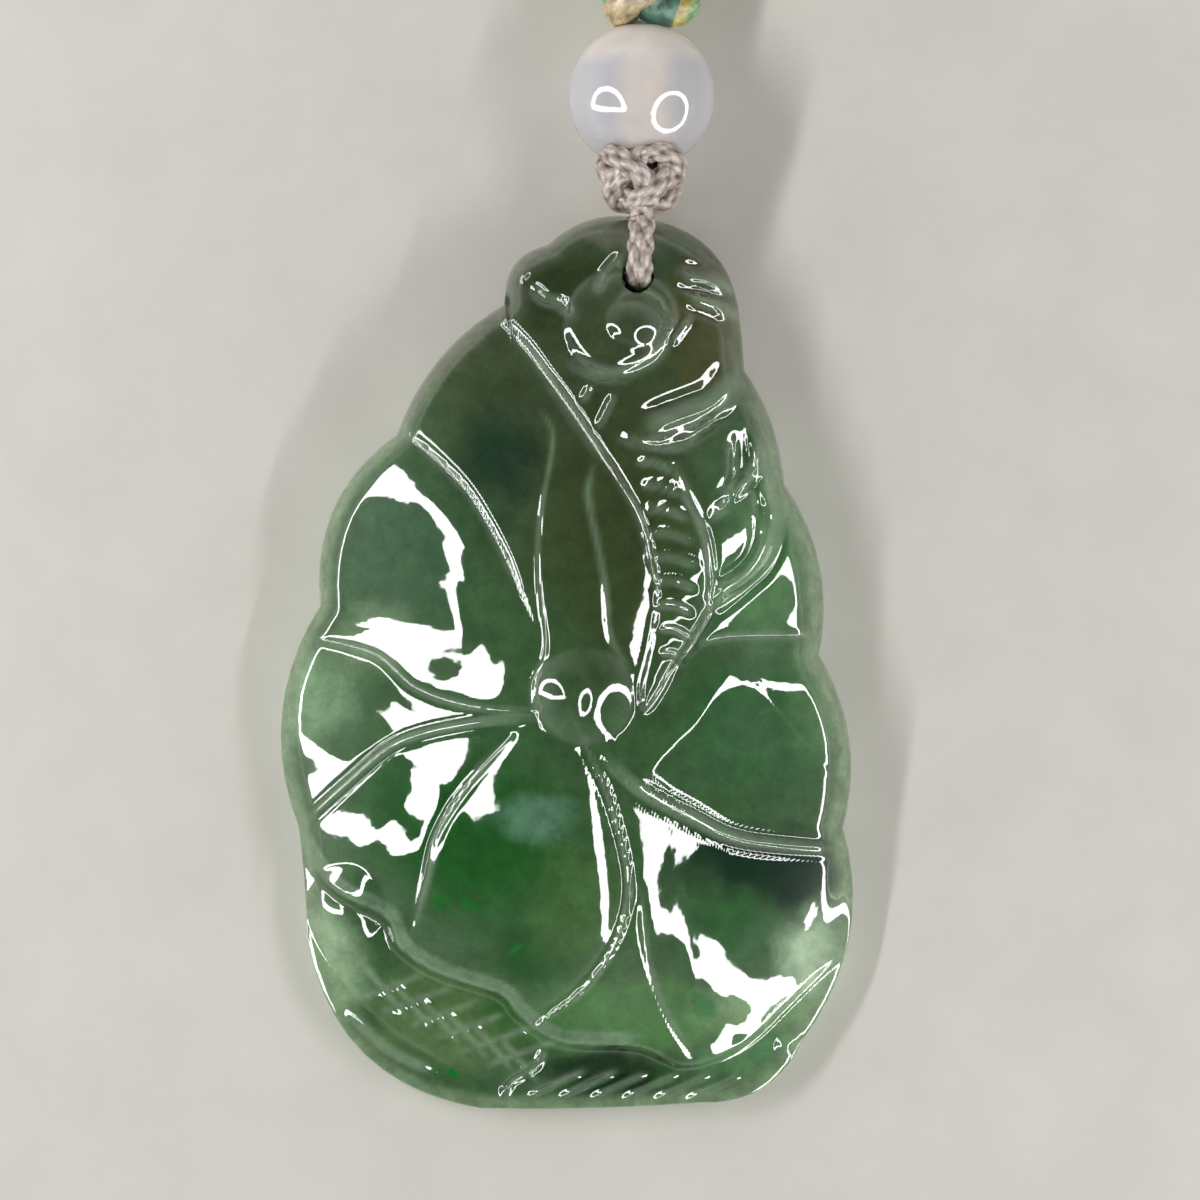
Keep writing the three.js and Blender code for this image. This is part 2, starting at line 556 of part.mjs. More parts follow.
// A knot: a rounded body whose strands cross over and under one another, with a hollow that the bead sits in
function knotGeometry({ x, y, z, radii }, strands, rows) {
  const geometry = new THREE.SphereGeometry(1, 24, 12);
  const position = geometry.attributes.position;
  const bulge = 0.09;
  for (let i = 0; i < position.count; i++) {
    const p = new THREE.Vector3().fromBufferAttribute(position, i);
    const around = Math.atan2(p.x, p.z);
    const up = Math.asin(Math.min(Math.max(p.y, -1), 1));
    const weave = Math.abs(p.y) > 0.99 ? -1 : Math.cos(strands * around) * Math.cos(rows * up);
    p.multiplyScalar(1 - bulge + bulge * weave);
    position.setXYZ(i, x + p.x * radii[0], y + p.y * radii[1], z + p.z * radii[2]);
  }
  const seat = new THREE.SphereGeometry(BEAD.radius + GAP, 32, 24).translate(BEAD.x, BEAD.y, BEAD.z);
  return fromSolid(toSolid(geometry).subtract(toSolid(seat)));
}

function beadGeometry() {
  const { radius, bore } = BEAD;
  const end = Math.sqrt(radius ** 2 - bore ** 2);
  const arc = Math.atan2(end, bore);
  const steps = 12;
  const profile = [];
  for (let i = 0; i <= steps; i++) {
    const turn = -arc + (2 * arc * i) / steps;
    profile.push([radius * Math.cos(turn), radius * Math.sin(turn)]);
  }
  profile.push(profile[0]);
  return new THREE.LatheGeometry(profile.map(([r, y]) => new THREE.Vector2(r, y)), 24);
}

// The ring that the coiled cord fills
function coilGeometry() {
  const inner = COIL.inside - NECK_CORD / 2 - 0.05;
  const outer = COIL.outside + NECK_CORD / 2 + 0.05;
  const height = COIL.layers * NECK_CORD + 0.1;
  const soft = 0.8;
  return turned([
    [inner + soft, 0.02],
    [outer - soft, 0.02],
    [outer, soft],
    [outer, height - soft],
    [outer - soft, height],
    [inner + soft, height],
    [inner, height - soft],
    [inner, soft],
    [inner + soft, 0.02],
  ], 28);
}

const finishes = {
  jade: new THREE.MeshStandardMaterial({ color: '#3d6a41', roughness: 0.12 }),
  chalcedony: new THREE.MeshStandardMaterial({ color: '#d9d6de', roughness: 0.08 }),
  taupeCord: new THREE.MeshStandardMaterial({ color: '#9d8a87', roughness: 0.6 }),
  mixedCord: new THREE.MeshStandardMaterial({ color: '#4f8d7c', roughness: 0.55 }),
};

const pendant = new THREE.Group();

function addPiece(name, geometry, finish, place = [0, 0, 0]) {
  const mesh = new THREE.Mesh(geometry, finish);
  mesh.name = name;
  mesh.position.set(...place);
  pendant.add(mesh);
}

addPiece('jade_carp_pendant', stoneGeometry(), finishes.jade);
addPiece('hanging_loop', cordGeometry(loopRoute(), THIN_CORD, 26), finishes.taupeCord);
addPiece('lower_knot', knotGeometry(LOWER_KNOT, 4, 4), finishes.taupeCord);
addPiece('chalcedony_bead', beadGeometry(), finishes.chalcedony, [BEAD.x, BEAD.y, BEAD.z]);
const beadCord = new THREE.CylinderGeometry(THIN_CORD / 2, THIN_CORD / 2, BEAD_CORD_LENGTH, 10);
addPiece('cord_through_bead', beadCord, finishes.taupeCord, [BEAD.x, BEAD.y, BEAD.z]);
addPiece('upper_knot', knotGeometry(UPPER_KNOT, 4, 4), finishes.mixedCord);
const neckEnds = { left: LEFT_END, right: RIGHT_END };
for (const [side, route] of Object.entries(neckEnds)) {
  const points = route.map(([x, y, z]) => [UPPER_KNOT.x + x, y, z]);
  addPiece(`necklace_leg_${side}`, cordGeometry(points, NECK_CORD, 6), finishes.mixedCord);
}
addPiece('necklace_coil', coilGeometry(), finishes.mixedCord, [UPPER_KNOT.x, COIL.y, 0]);

export default pendant;
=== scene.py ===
"""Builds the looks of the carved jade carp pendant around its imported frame.

The stone lies on its flat back, a thin braided cord loops through its hole to a button knot, a milky
round bead sits on the knot, and the coiled necklace cord lies beyond it. Sizes are in millimetres in
the classes below, and the meshes are made in metres.
"""

from __future__ import annotations

import json
import logging
import math
from dataclasses import dataclass, field
from enum import Enum

import bpy
import numpy as np
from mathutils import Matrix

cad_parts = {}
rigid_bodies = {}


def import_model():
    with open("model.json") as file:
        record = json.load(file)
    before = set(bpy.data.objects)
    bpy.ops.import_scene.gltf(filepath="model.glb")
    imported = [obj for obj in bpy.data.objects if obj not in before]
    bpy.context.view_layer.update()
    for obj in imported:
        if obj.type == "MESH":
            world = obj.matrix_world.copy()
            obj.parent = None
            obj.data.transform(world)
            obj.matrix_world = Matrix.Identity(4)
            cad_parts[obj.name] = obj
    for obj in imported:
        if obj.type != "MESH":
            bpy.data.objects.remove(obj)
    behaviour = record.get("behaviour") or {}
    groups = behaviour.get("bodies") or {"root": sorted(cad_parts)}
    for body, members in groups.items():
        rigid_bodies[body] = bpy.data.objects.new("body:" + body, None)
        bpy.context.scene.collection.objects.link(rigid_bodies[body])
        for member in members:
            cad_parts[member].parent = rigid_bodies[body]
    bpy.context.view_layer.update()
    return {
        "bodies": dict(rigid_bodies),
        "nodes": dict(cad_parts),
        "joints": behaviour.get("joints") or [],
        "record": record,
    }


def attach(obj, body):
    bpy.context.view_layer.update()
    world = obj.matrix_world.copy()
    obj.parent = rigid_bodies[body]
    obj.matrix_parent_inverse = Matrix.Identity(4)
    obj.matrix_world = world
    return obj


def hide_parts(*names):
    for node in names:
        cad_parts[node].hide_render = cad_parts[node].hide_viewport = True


log = logging.getLogger("pendant")

MM = 0.001
Point2 = tuple[float, float]
Point3 = tuple[float, float, float]
Socket = bpy.types.NodeSocket


# Shared helpers


def deselect_all() -> None:
    """Leaves nothing selected, in object mode."""
    if bpy.context.object and bpy.context.object.mode != "OBJECT":
        bpy.ops.object.mode_set(mode="OBJECT")
    bpy.ops.object.select_all(action="DESELECT")


def make_active(piece: bpy.types.Object) -> None:
    """Selects one piece alone and makes it the active one.

    Args:
        piece: The piece to work on.
    """
    deselect_all()
    piece.select_set(True)
    bpy.context.view_layer.objects.active = piece


def settle(piece: bpy.types.Object, name: str) -> bpy.types.Object:
    """Names a piece, and moves its place and turn into its mesh.

    Args:
        piece: The new piece.
        name: Its name.

    Returns:
        The same piece, at the origin.
    """
    make_active(piece)
    bpy.ops.object.transform_apply(location=True, rotation=True, scale=True)
    piece.name = name
    piece.data.name = name
    return piece


def apply_modifiers(piece: bpy.types.Object) -> None:
    """Applies all the modifiers of a piece, in order.

    Args:
        piece: The piece, which keeps no modifier.
    """
    make_active(piece)
    for modifier in list(piece.modifiers):
        bpy.ops.object.modifier_apply(modifier=modifier.name)


def face_outward(piece: bpy.types.Object) -> None:
    """Turns all the faces of a piece outwards.

    Args:
        piece: The piece, whose mesh is closed.
    """
    make_active(piece)
    bpy.ops.object.mode_set(mode="EDIT")
    bpy.ops.mesh.select_all(action="SELECT")
    bpy.ops.mesh.normals_make_consistent(inside=False)
    bpy.ops.object.mode_set(mode="OBJECT")


def read_points(piece: bpy.types.Object) -> np.ndarray:
    """The vertices of a piece as an array of rows of three, in metres.

    Args:
        piece: The piece.

    Returns:
        Rows of x, y and z.
    """
    flat = np.empty(len(piece.data.vertices) * 3)
    piece.data.vertices.foreach_get("co", flat)
    return flat.reshape(-1, 3)


def write_points(piece: bpy.types.Object, points: np.ndarray) -> None:
    """Puts the vertices of a piece where the rows of an array say, in metres."""
    piece.data.vertices.foreach_set("co", np.ascontiguousarray(points, dtype=float).ravel())
    piece.data.update()


def smooth(piece: bpy.types.Object) -> None:
    """Shades a piece smooth all over."""
    piece.data.polygons.foreach_set("use_smooth", [True] * len(piece.data.polygons))


def store_values(piece: bpy.types.Object, name: str, values: np.ndarray) -> None:
    """Keeps one number for each vertex under a name that a material can read."""
    attribute = piece.data.attributes.get(name) or piece.data.attributes.new(name, "FLOAT", "POINT")
    attribute.data.foreach_set("value", values.astype(np.float32))


def smooth_line(through: list[Point2], steps: int = 6) -> np.ndarray:
    """A smooth curve through a few places of the plan, as a line of points.

    Args:
        through: The places, in millimetres.
        steps: How many points there are from one place to the next.

    Returns:
        Rows of x and y.
    """
    places = np.array(through, float)
    padded = np.vstack([places[0], places, places[-1]])
    share = (np.arange(steps) / steps)[:, None]
    stretches = []
    for before, start, end, after in zip(padded, padded[1:], padded[2:], padded[3:]):
        leave, arrive = (end - before) / 2, (after - start) / 2
        stretches.append(
            (2 * start - 2 * end + leave + arrive) * share**3
            + (3 * end - 3 * start - 2 * leave - arrive) * share**2
            + leave * share
            + start
        )
    return np.vstack([*stretches, places[-1:]])


def smooth_step(low: float, high: float, value: np.ndarray) -> np.ndarray:
    """A smooth step from 0 at low to 1 at high."""
    share = np.clip((value - low) / (high - low), 0, 1)
    return share * share * (3 - 2 * share)


def nearest(line: np.ndarray, places: np.ndarray) -> tuple[np.ndarray, np.ndarray, np.ndarray]:
    """The nearest point of a line to each place.

    Args:
        line: Rows of x and y.
        places: Rows of x and y.

    Returns:
        How far it is, its share of the way along, and 1 where the place is left of the line or else -1.
    """
    best = np.full(len(places), np.inf)
    along = np.zeros(len(places))
    side = np.ones(len(places))
    count = len(line) - 1
    for i in range(count):
        way = line[i + 1] - line[i]
        offset = places - line[i]
        share = np.clip((offset @ way) / (way @ way), 0, 1)
        rest = offset - share[:, None] * way
        squared = np.einsum("ij,ij->i", rest, rest)
        closer = squared < best
        best[closer] = squared[closer]
        along[closer] = (i + share[closer]) / count
        turn = way[0] * offset[closer, 1] - way[1] * offset[closer, 0]
        side[closer] = np.where(turn < 0, -1, 1)
    return np.sqrt(best), along, side


# The carving


@dataclass(frozen=True)
class Cut:
    """One carved line: where it runs, half width, height (down if negative), and valleys left and right."""

    through: list[Point2]
    width: float
    height: float
    valley: Point2 = (0.0, 0.0)


@dataclass(frozen=True)
class Swelling:
    """A rounded rise of the surface."""

    at: Point2
    radii: Point2
    rise: float
    roundness: float


@dataclass(frozen=True)
class Fold:
    """A soft crest of the leaf: where it runs, its height, and how far it falls off left and right."""

    through: list[Point2]
    crest: float
    left: float
    right: float


@dataclass(frozen=True)
class Row:
    """Like strokes side by side between two places."""

    start: Point2
    end: Point2
    count: int
    width: float
    height: float

    def strokes(self, shape: list[Point2], swell: float = 0.0, shrink: float = 0.0) -> list[Cut]:
        """The strokes of the row.

        Args:
            shape: The places of one stroke, measured from its start.
            swell: How much longer the middle strokes are.
            shrink: How much shorter the last stroke is.

        Returns:
            A cut for each stroke.
        """
        made = []
        for i in range(self.count):
            share = i / (self.count - 1)
            x = self.start[0] + (self.end[0] - self.start[0]) * share
            y = self.start[1] + (self.end[1] - self.start[1]) * share
            reach = 1 + swell * math.sin(math.pi * share) - shrink * share
            made.append(Cut([(x + dx * reach, y + dy) for dx, dy in shape], self.width, self.height))
        return made


RIM = [
    (4.0, 24.3, 1.65), (9.5, 18.4, 0.02), (9.7, 16.0, 0.45), (11.9, 9.8, 1.0), (13.8, 0.5, 1.0),
    (15.1, -8.9, 1.45), (12.9, -20.5, 1.1), (7.3, -23.9, 0.15), (-4.7, -24.2, 2.3), (-14.1, -15.0, -0.1),
    (-14.6, -8.8, 1.5), (-13.4, 3.2, 1.5), (-9.2, 12.5, 0.85), (-3.3, 19.6, 0.85), (-1.0, 22.8, 0.65),
]
VEINS = [
    Cut([(-1.7, -2.6), (-5.2, -2.3), (-8.2, -1.3), (-10.4, 0.5), (-13.5, 1.3)], 0.2, -0.13, (0.3, 0.5)),
    Cut([(-1.7, -2.9), (-5.2, -3.2), (-9.0, -4.2), (-11.8, -6.4), (-14.2, -8.6)], 0.2, 0.2, (0.1, 0.1)),
    Cut([(-3.0, -4.0), (-5.2, -6.3), (-6.9, -9.0), (-7.5, -11.2), (-8.2, -13.9)], 0.25, -0.24, (0.1, 0.3)),
    Cut(
        [(1.2, -4.6), (2.5, -7.7), (3.4, -11.8), (2.7, -15.0), (1.0, -17.5), (-1.4, -19.4)],
        0.18, 0.18, (0.25, 0.8),
    ),
    Cut([(4.0, -12.0), (4.5, -16.1), (5.5, -19.1), (6.9, -21.3)], 0.17, -0.1, (0.05, 0.05)),
    Cut([(2.2, -5.1), (4.0, -6.7), (6.7, -8.2), (9.5, -9.5), (14.8, -10.1)], 0.28, 0.36, (0.15, 0.15)),
    Cut([(7.0, 1.0), (8.6, 1.5), (11.6, 1.6), (14.1, 1.5)], 0.22, -0.1, (0.4, 0.5)),
    Cut([(-8.8, 12.6), (-6.9, 11.0), (-5.2, 9.2), (-3.6, 6.5), (-2.4, 3.9)], 0.22, -0.2, (0.0, 0.4)),
    Cut(
        [(-1.4, 13.7), (-0.7, 12.2), (-1.4, 7.8), (-1.5, 4.6), (-1.1, 0.9), (-1.8, -0.9), (-1.8, -2.4)],
        0.15, -0.09, (0.1, 0.1),
    ),
]
CARP = [
    Cut([(-1.9, 20.5), (-1.2, 19.8), (-0.4, 19.6), (0.3, 18.9)], 0.28, -0.42),
    Cut([(1.7, 20.2), (2.0, 21.0), (3.0, 22.2)], 0.28, -0.35),
    Cut([(-3.3, 18.4), (-2.1, 17.1), (-0.9, 15.4), (0.1, 13.9), (1.3, 12.2), (2.4, 10.5)], 0.25, -0.3),
    Cut([(2.6, 10.2), (3.7, 8.5), (4.3, 6.9), (4.6, 5.5), (4.9, 4.0)], 0.16, -0.18),
    Cut([(0.9, 14.2), (1.3, 15.0)], 0.18, -0.25),
    Cut([(1.7, 12.7), (2.2, 13.7), (2.6, 14.5)], 0.2, -0.25),
    Cut([(5.8, 17.4), (6.7, 18.7)], 0.18, 0.25),
    Cut([(2.9, 19.9), (4.0, 20.3), (5.1, 19.8), (5.5, 19.0)], 0.2, -0.25),
    Cut([(0.1, 16.4), (2.4, 15.6), (4.8, 16.5), (5.9, 18.4)], 0.35, -0.35),
    Cut([(6.2, 21.0), (7.8, 20.7), (9.2, 20.2)], 0.35, 0.35),
    Cut([(6.7, 19.9), (8.1, 19.4), (9.6, 18.7)], 0.35, 0.35),
    Cut([(9.2, 15.6), (8.1, 14.1), (6.2, 13.3), (4.3, 12.6)], 0.5, 0.45),
    Cut([(8.5, 13.8), (7.3, 12.6), (5.9, 11.8), (2.9, 12.2)], 0.3, -0.3),
    Cut([(5.9, 10.8), (6.7, 8.9), (7.6, 7.0), (7.9, 4.6), (7.7, 2.7), (6.7, 0.9), (5.3, -0.8)], 0.3, -0.3),
    Cut([(10.4, 12.2), (11.0, 9.2), (11.2, 7.3), (10.6, 5.6), (9.4, 4.4), (7.9, 3.2)], 0.35, 0.35),
    Cut([(10.4, 12.2), (10.1, 10.3), (8.6, 8.9)], 0.3, 0.3),
    Cut([(10.7, 8.1), (10.6, 6.5), (9.7, 5.0), (8.1, 4.0)], 0.3, 0.3),
    Cut([(9.1, 12.2), (9.1, 10.6), (8.8, 8.9), (7.8, 7.8)], 0.3, -0.3),
    Cut([(-11.6, -19.0), (-9.6, -20.9), (-7.3, -22.1)], 0.3, 0.25),
    Cut([(-1.2, -21.0), (-1.6, -21.9), (-3.0, -22.8), (-3.4, -23.6)], 0.2, -0.3),
]
BACK_RAYS = Row((3.9, 10.9), (5.2, 0.6), 9, 0.22, -0.22)
BACK_RAY = [(0.0, 0.0), (0.95, 0.0), (1.9, -0.45)]
LEAF_CREASE = Cut([(1.5, 10.8), (1.2, 9.4), (1.4, 8.0), (2.1, 4.4), (2.4, 1.6), (3.4, -0.2)], 0.2, -0.12)
SCALES = Row((-9.6, -17.7), (-2.4, -21.3), 6, 0.2, -0.075)
SCALE_DOWN = [(-1.4, 1.2), (0.85, -1.5)]
SCALE_UP = [(-1.9, -0.6), (2.0, 0.85)]
TAIL_RAYS = Row((1.0, -22.9), (9.6, -23.1), 6, 0.2, -0.2)
TAIL_RAY = [(0.0, 0.65), (-3.0, -0.65)]
FISH_EDGE = [
    (-5.0, 20.6), (-3.2, 18.3), (-1.1, 15.7), (0.2, 14.1), (1.8, 11.6), (2.9, 10.1), (4.3, 7.3), (4.9, 4.0),
    (4.6, 1.3), (4.0, -1.4), (4.3, -2.4), (5.4, -0.9), (7.9, 3.0), (10.3, 4.9), (11.5, 7.3), (12.6, 10.0),
    (14.5, 12.5),
]
LEAF_RIM = [
    (-15.6, -7.6), (-13.7, -10.9), (-12.3, -12.4), (-9.8, -13.7), (-9.0, -15.4), (-6.9, -16.8), (-3.6, -17.9),
    (-2.5, -19.1), (-0.3, -20.5), (4.0, -20.8), (6.5, -21.8), (9.5, -20.7), (11.9, -18.6), (14.1, -16.4),
    (16.4, -14.6),
]
FOLDS = [
    Fold(
        [(3.4, -7.2), (4.3, -6.1), (5.8, -4.3), (7.1, -3.0), (8.1, -1.4), (9.4, 0.2), (11.6, 1.3)],
        0.35, 2.5, 3.0,
    ),
    Fold([(3.6, -0.4), (2.4, 1.6), (2.1, 4.3), (1.3, 7.9), (1.1, 9.6), (1.5, 11.0)], 0.05, 2.0, 1.0),
]
SWELLINGS = [
    Swelling((1.0, -1.7), (2.75, 2.7), 0.75, 0.9),
    Swelling((-0.2, -1.5), (1.6, 2.2), 0.3, 1.2),
    Swelling((3.0, 18.4), (3.1, 3.0), 0.7, 0.6),
    Swelling((3.9, 18.5), (1.8, 1.5), 0.62, 1.0),
    Swelling((-2.5, 21.3), (0.6, 0.6), 0.35, 0.7),
    Swelling((12.2, -20.8), (0.9, 0.8), 0.35, 1.0),
    Swelling((-12.0, -13.2), (2.2, 2.4), 0.6, 1.2),
]
LEAF_ROUNDNESS = 1.7
# Soft rises of the leaf: x, y, half width, half length and height. A search that fitted the leaf's slopes
# to its reflections gave nine of them, three now with a rounded height. The others were set one by one, six
# of them after rows that its first runs gave
LEAF_RISES = [
    (12.0, -3.0, 7.0, 6.5, 0.55), (12.0, -11.0, 6.5, 7.0, 0.35), (14.0, -19.0, 6.5, 6.5, -0.45),
    (-12.0, 2.0, 6.5, 7.5, -0.4), (-6.5, 8.0, 6.5, 6.5, -0.2), (-6.5, -5.0, 6.5, 7.5, -0.3),
    (16.0, -1.0, 5.5, 5.5, 0.8), (11.5, -5.5, 5.0, 5.0, -0.4), (12.0, -16.0, 5.0, 5.0, 0.16),
    (10.0, 6.0, 5.0, 5.0, 0.3), (9.5, -14.5, 4.5, 4.5, 0.2), (4.0, -20.0, 7.5, 7.5, -0.35),
    (-4.0, -12.0, 5.0, 5.0, -0.25), (-10.5, -11.0, 6.0, 6.0, 0.4), (-12.0, -6.0, 5.0, 5.0, 0.3),
    (-10.0, 2.0, 7.5, 7.5, -0.45), (-8.0, 2.0, 5.0, 5.0, 0.26), (-14.0, 4.0, 7.5, 7.5, 0.43),
    (-6.0, 8.0, 7.5, 7.5, 0.28),
]
# Further rises in the same form, each one as that search printed it
SEARCHED_RISES = [
    (8.0, -14.0, 5.0, 5.0, -0.16), (-10.0, -8.0, 3.5, 3.5, -0.29), (12.0, -18.0, 3.5, 3.5, 0.29),
    (-6.0, 6.0, 7.0, 7.0, 0.24), (-10.0, -12.0, 7.0, 7.0, 0.33), (14.0, -20.0, 3.5, 3.5, -0.32),
    (-14.0, 8.0, 7.0, 7.0, -0.22), (-14.0, -4.0, 5.0, 5.0, -0.27), (8.0, -8.0, 7.0, 7.0, -0.19),
    (10.0, -12.0, 3.5, 3.5, -0.16), (-10.0, -2.0, 3.5, 3.5, 0.16), (-8.0, 2.0, 3.5, 3.5, 0.18),
    (-14.0, 8.0, 5.0, 5.0, -0.23), (14.0, -20.0, 5.0, 5.0, -0.29), (14.0, -16.0, 3.5, 3.5, 0.18),
    (10.0, -18.0, 3.5, 3.5, 0.14), (16.0, -14.0, 3.5, 3.5, -0.21), (10.0, -14.0, 5.0, 5.0, -0.15),
]
LEAF_SWELLINGS = [
    Swelling((x, y), (wide, long), rise, LEAF_ROUNDNESS)
    for x, y, wide, long, rise in LEAF_RISES + SEARCHED_RISES
]


@dataclass
class Relief:
    """The carved front of the stone as a height above every place of its plan."""

    centre: Point2 = (0.2, -1.4)
    rim_height: float = 2.0
    rim_rise: float = 1.0
    rim_bend: tuple[float, float] = (5.0, 20.0)
    edge_width: float = 0.9
    edge_spread: float = 0.06
    edge_rise: float = 1.7
    crown_rise: float = 5.0
    crown_centre: Point2 = (0.0, 2.0)
    crown_radii: Point3 = (14.9, 28.0, 26.0)
    crown_spread: float = 0.13
    crown_shoulder: float = 2.6
    pillow: float = 0.5
    valley_reach: float = 1.3
    rim_valley: float = 0.3
    fish_valley: float = 0.4
    groove: Point3 = (1.9, 0.7, 0.5)
    body_rise: Point3 = (0.4, 0.8, 1.5)
    leaf_step: float = 0.7
    leaf_curl: Point2 = (1.2, 4.0)
    least_body: float = 0.15
    fish_rise: float = 0.5
    fish_step: float = 0.35
    outline: np.ndarray = field(init=False)
    cuts: list[tuple[Cut, np.ndarray]] = field(init=False)
    folds: list[tuple[Fold, np.ndarray]] = field(init=False)
    fish_edge: np.ndarray = field(init=False)
    leaf_rim: np.ndarray = field(init=False)
    reach_table: tuple[np.ndarray, np.ndarray] = field(init=False)

    def __post_init__(self) -> None:
        """Works out the outline and all the carved lines."""
        self.outline = self.outline_points()
        cuts = [
            *VEINS,
            *CARP,
            LEAF_CREASE,
            *BACK_RAYS.strokes(BACK_RAY, swell=0.5, shrink=0.35),
            *SCALES.strokes(SCALE_DOWN),
            *SCALES.strokes(SCALE_UP),
            *TAIL_RAYS.strokes(TAIL_RAY),
        ]
        self.cuts = [(cut, smooth_line(cut.through)) for cut in cuts]
        self.fish_edge = smooth_line(FISH_EDGE)
        self.leaf_rim = smooth_line(LEAF_RIM)
        self.folds = [(fold, smooth_line(fold.through)) for fold in FOLDS]
        angles = np.linspace(-math.pi, math.pi, 2881)
        self.reach_table = (angles, self.ray_reach(angles + 1e-9))

    def outline_points(self, steps: int = 10) -> np.ndarray:
        """The outline as a closed line of points, each stretch a parabola that bows outwards.

        Args:
            steps: How many points there are from one place of the rim to the next.

        Returns:
            Rows of x and y, the last the same as the first.
        """
        points = []
        for (x, y, bow), (next_x, next_y, _) in zip(RIM, RIM[1:] + RIM[:1]):
            length = math.hypot(next_x - x, next_y - y)
            out = (-(next_y - y) / length, (next_x - x) / length)
            for share in np.arange(steps) / steps:
                lift = 4 * bow * share * (1 - share)
                points.append((
                    x + (next_x - x) * share + out[0] * lift,
                    y + (next_y - y) * share + out[1] * lift,
                ))
        points.append(points[0])
        return np.array(points)

    def ray_reach(self, angles: np.ndarray) -> np.ndarray:
        """Distance from the centre to the outline along each angle.

        Args:
            angles: Directions seen from the centre.

        Returns:
            A distance for each angle.
        """
        seen = self.outline - np.array(self.centre)
        reach = np.zeros(len(angles))
        dx, dy = np.cos(angles), np.sin(angles)
        for (ax, ay), (bx, by) in zip(seen, seen[1:]):
            side_a, side_b = dx * ay - dy * ax, dx * by - dy * bx
            crossed = (side_a >= 0) != (side_b >= 0)
            share = np.where(crossed, side_a / np.where(crossed, side_a - side_b, 1), 0)
            far = dx * (ax + share * (bx - ax)) + dy * (ay + share * (by - ay))
            reach = np.where(crossed & (far > 0), far, reach)
        return reach

    def reach_at(self, angles: np.ndarray) -> np.ndarray:
        """Distance from the centre to the outline, read from the table of rays."""
        return np.interp(angles, *self.reach_table)

    def crown(self, places: np.ndarray) -> np.ndarray:
        """Share of the broad doming at each place, 1 at its top and never below 0.

        Args:
            places: Rows of x and y.

        Returns:
            A share for each place.
        """
        below = np.maximum(self.crown_centre[1] - places[:, 1], 0)
        u = (places[:, 0] - self.crown_centre[0]) / (self.crown_radii[0] + self.crown_spread * below)
        up = places[:, 1] - self.crown_centre[1]
        v = up / np.where(up > 0, self.crown_radii[1], self.crown_radii[2])
        level = 1 - u**2 - np.abs(v) ** np.where(up > 0, 2.0, self.crown_shoulder)
        return (level + np.sqrt(level**2 + 0.01)) / 2

    def carve(self, places: np.ndarray, pillow: np.ndarray) -> tuple[np.ndarray, np.ndarray]:
        """Height of all the carved lines, which also draw down the pillow beside the veins.

        Args:
            places: Rows of x and y.
            pillow: The swelling of the leaf between its veins, changed in place.

        Returns:
            What the lines add to the height, and how nearly each place is in the middle of a line.
        """
        total = np.zeros(len(places))
        near = np.zeros(len(places))
        beside, wide, share = self.groove
        for cut, line in self.cuts:
            away, along, side = nearest(line, places)
            if max(cut.valley) > 0:
                deep = np.where(side > 0, *cut.valley)
                pillow *= 1 - deep * np.exp(-away / self.valley_reach)
            ends = np.minimum(1, 0.25 + 4 * np.minimum(along, 1 - along))
            stroke = cut.height * ends * np.exp(-((away / cut.width) ** 2))
            if cut.height > 0:
                stroke -= share * cut.height * ends * np.exp(-(((away / cut.width - beside) / wide) ** 2))
            total += np.where(away > 4 * cut.width, 0, stroke)
            near = np.maximum(near, ends * np.exp(-((away / (0.9 * cut.width)) ** 2)))
        return total, near

    def layers(self, places: np.ndarray, pillow: np.ndarray) -> np.ndarray:
        """Height of the layers that lie over one another: the carp, the leaf and the carp's body below it.

        Args:
            places: Rows of x and y.
            pillow: The swelling of the leaf between its veins, changed in place.

        Returns:
            What the layers add to the height.
        """
        away, _, side = nearest(self.fish_edge, places)
        pillow *= 1 - self.fish_valley * np.exp(-away / self.valley_reach)
        height = self.fish_rise * smooth_step(-self.fish_step, self.fish_step, away * side)
        for fold, line in self.folds:
            away, along, side = nearest(line, places)
            fade = smooth_step(0, 0.25, np.minimum(along, 1 - along))
            height += fold.crest * fade * np.exp(-away / np.where(side < 0, fold.right, fold.left))
        return height

    def height(self, places: np.ndarray) -> np.ndarray:
        """Height of the front above the back, in millimetres, at rows of x and y."""
        return self.front(places)[0]

    def front(self, places: np.ndarray) -> tuple[np.ndarray, np.ndarray]:
        """The carved front.

        Args:
            places: Rows of x and y.

        Returns:
            The height above the back for each place, and how nearly it is in the middle of a carved line.
        """
        to_rim = nearest(self.outline, places)[0]
        x = places[:, 0]
        width = self.edge_width + self.edge_spread * np.where(x > 0, x, -0.5 * x)
        rounded = np.sqrt(1 - (1 - np.minimum(to_rim / width, 1)) ** 2)
        pillow = 1 - self.rim_valley * np.exp(-to_rim / self.valley_reach)
        lines, near = self.carve(places, pillow)
        top = self.edge_rise + self.crown_rise * self.crown(places) + self.layers(places, pillow)
        top += self.pillow * (pillow - 1) + self.swollen(places, LEAF_SWELLINGS)
        top = self.below_leaf(places, to_rim, top) + lines + self.swollen(places, SWELLINGS)
        rim = self.rim_level(places[:, 1])
        return rim + (self.rim_height + top - rim) * rounded, near

    def rim_level(self, y: np.ndarray) -> np.ndarray:
        """Height of the stone's widest outline above the back, which rises towards the top."""
        return self.rim_height + self.rim_rise * smooth_step(*self.rim_bend, y)

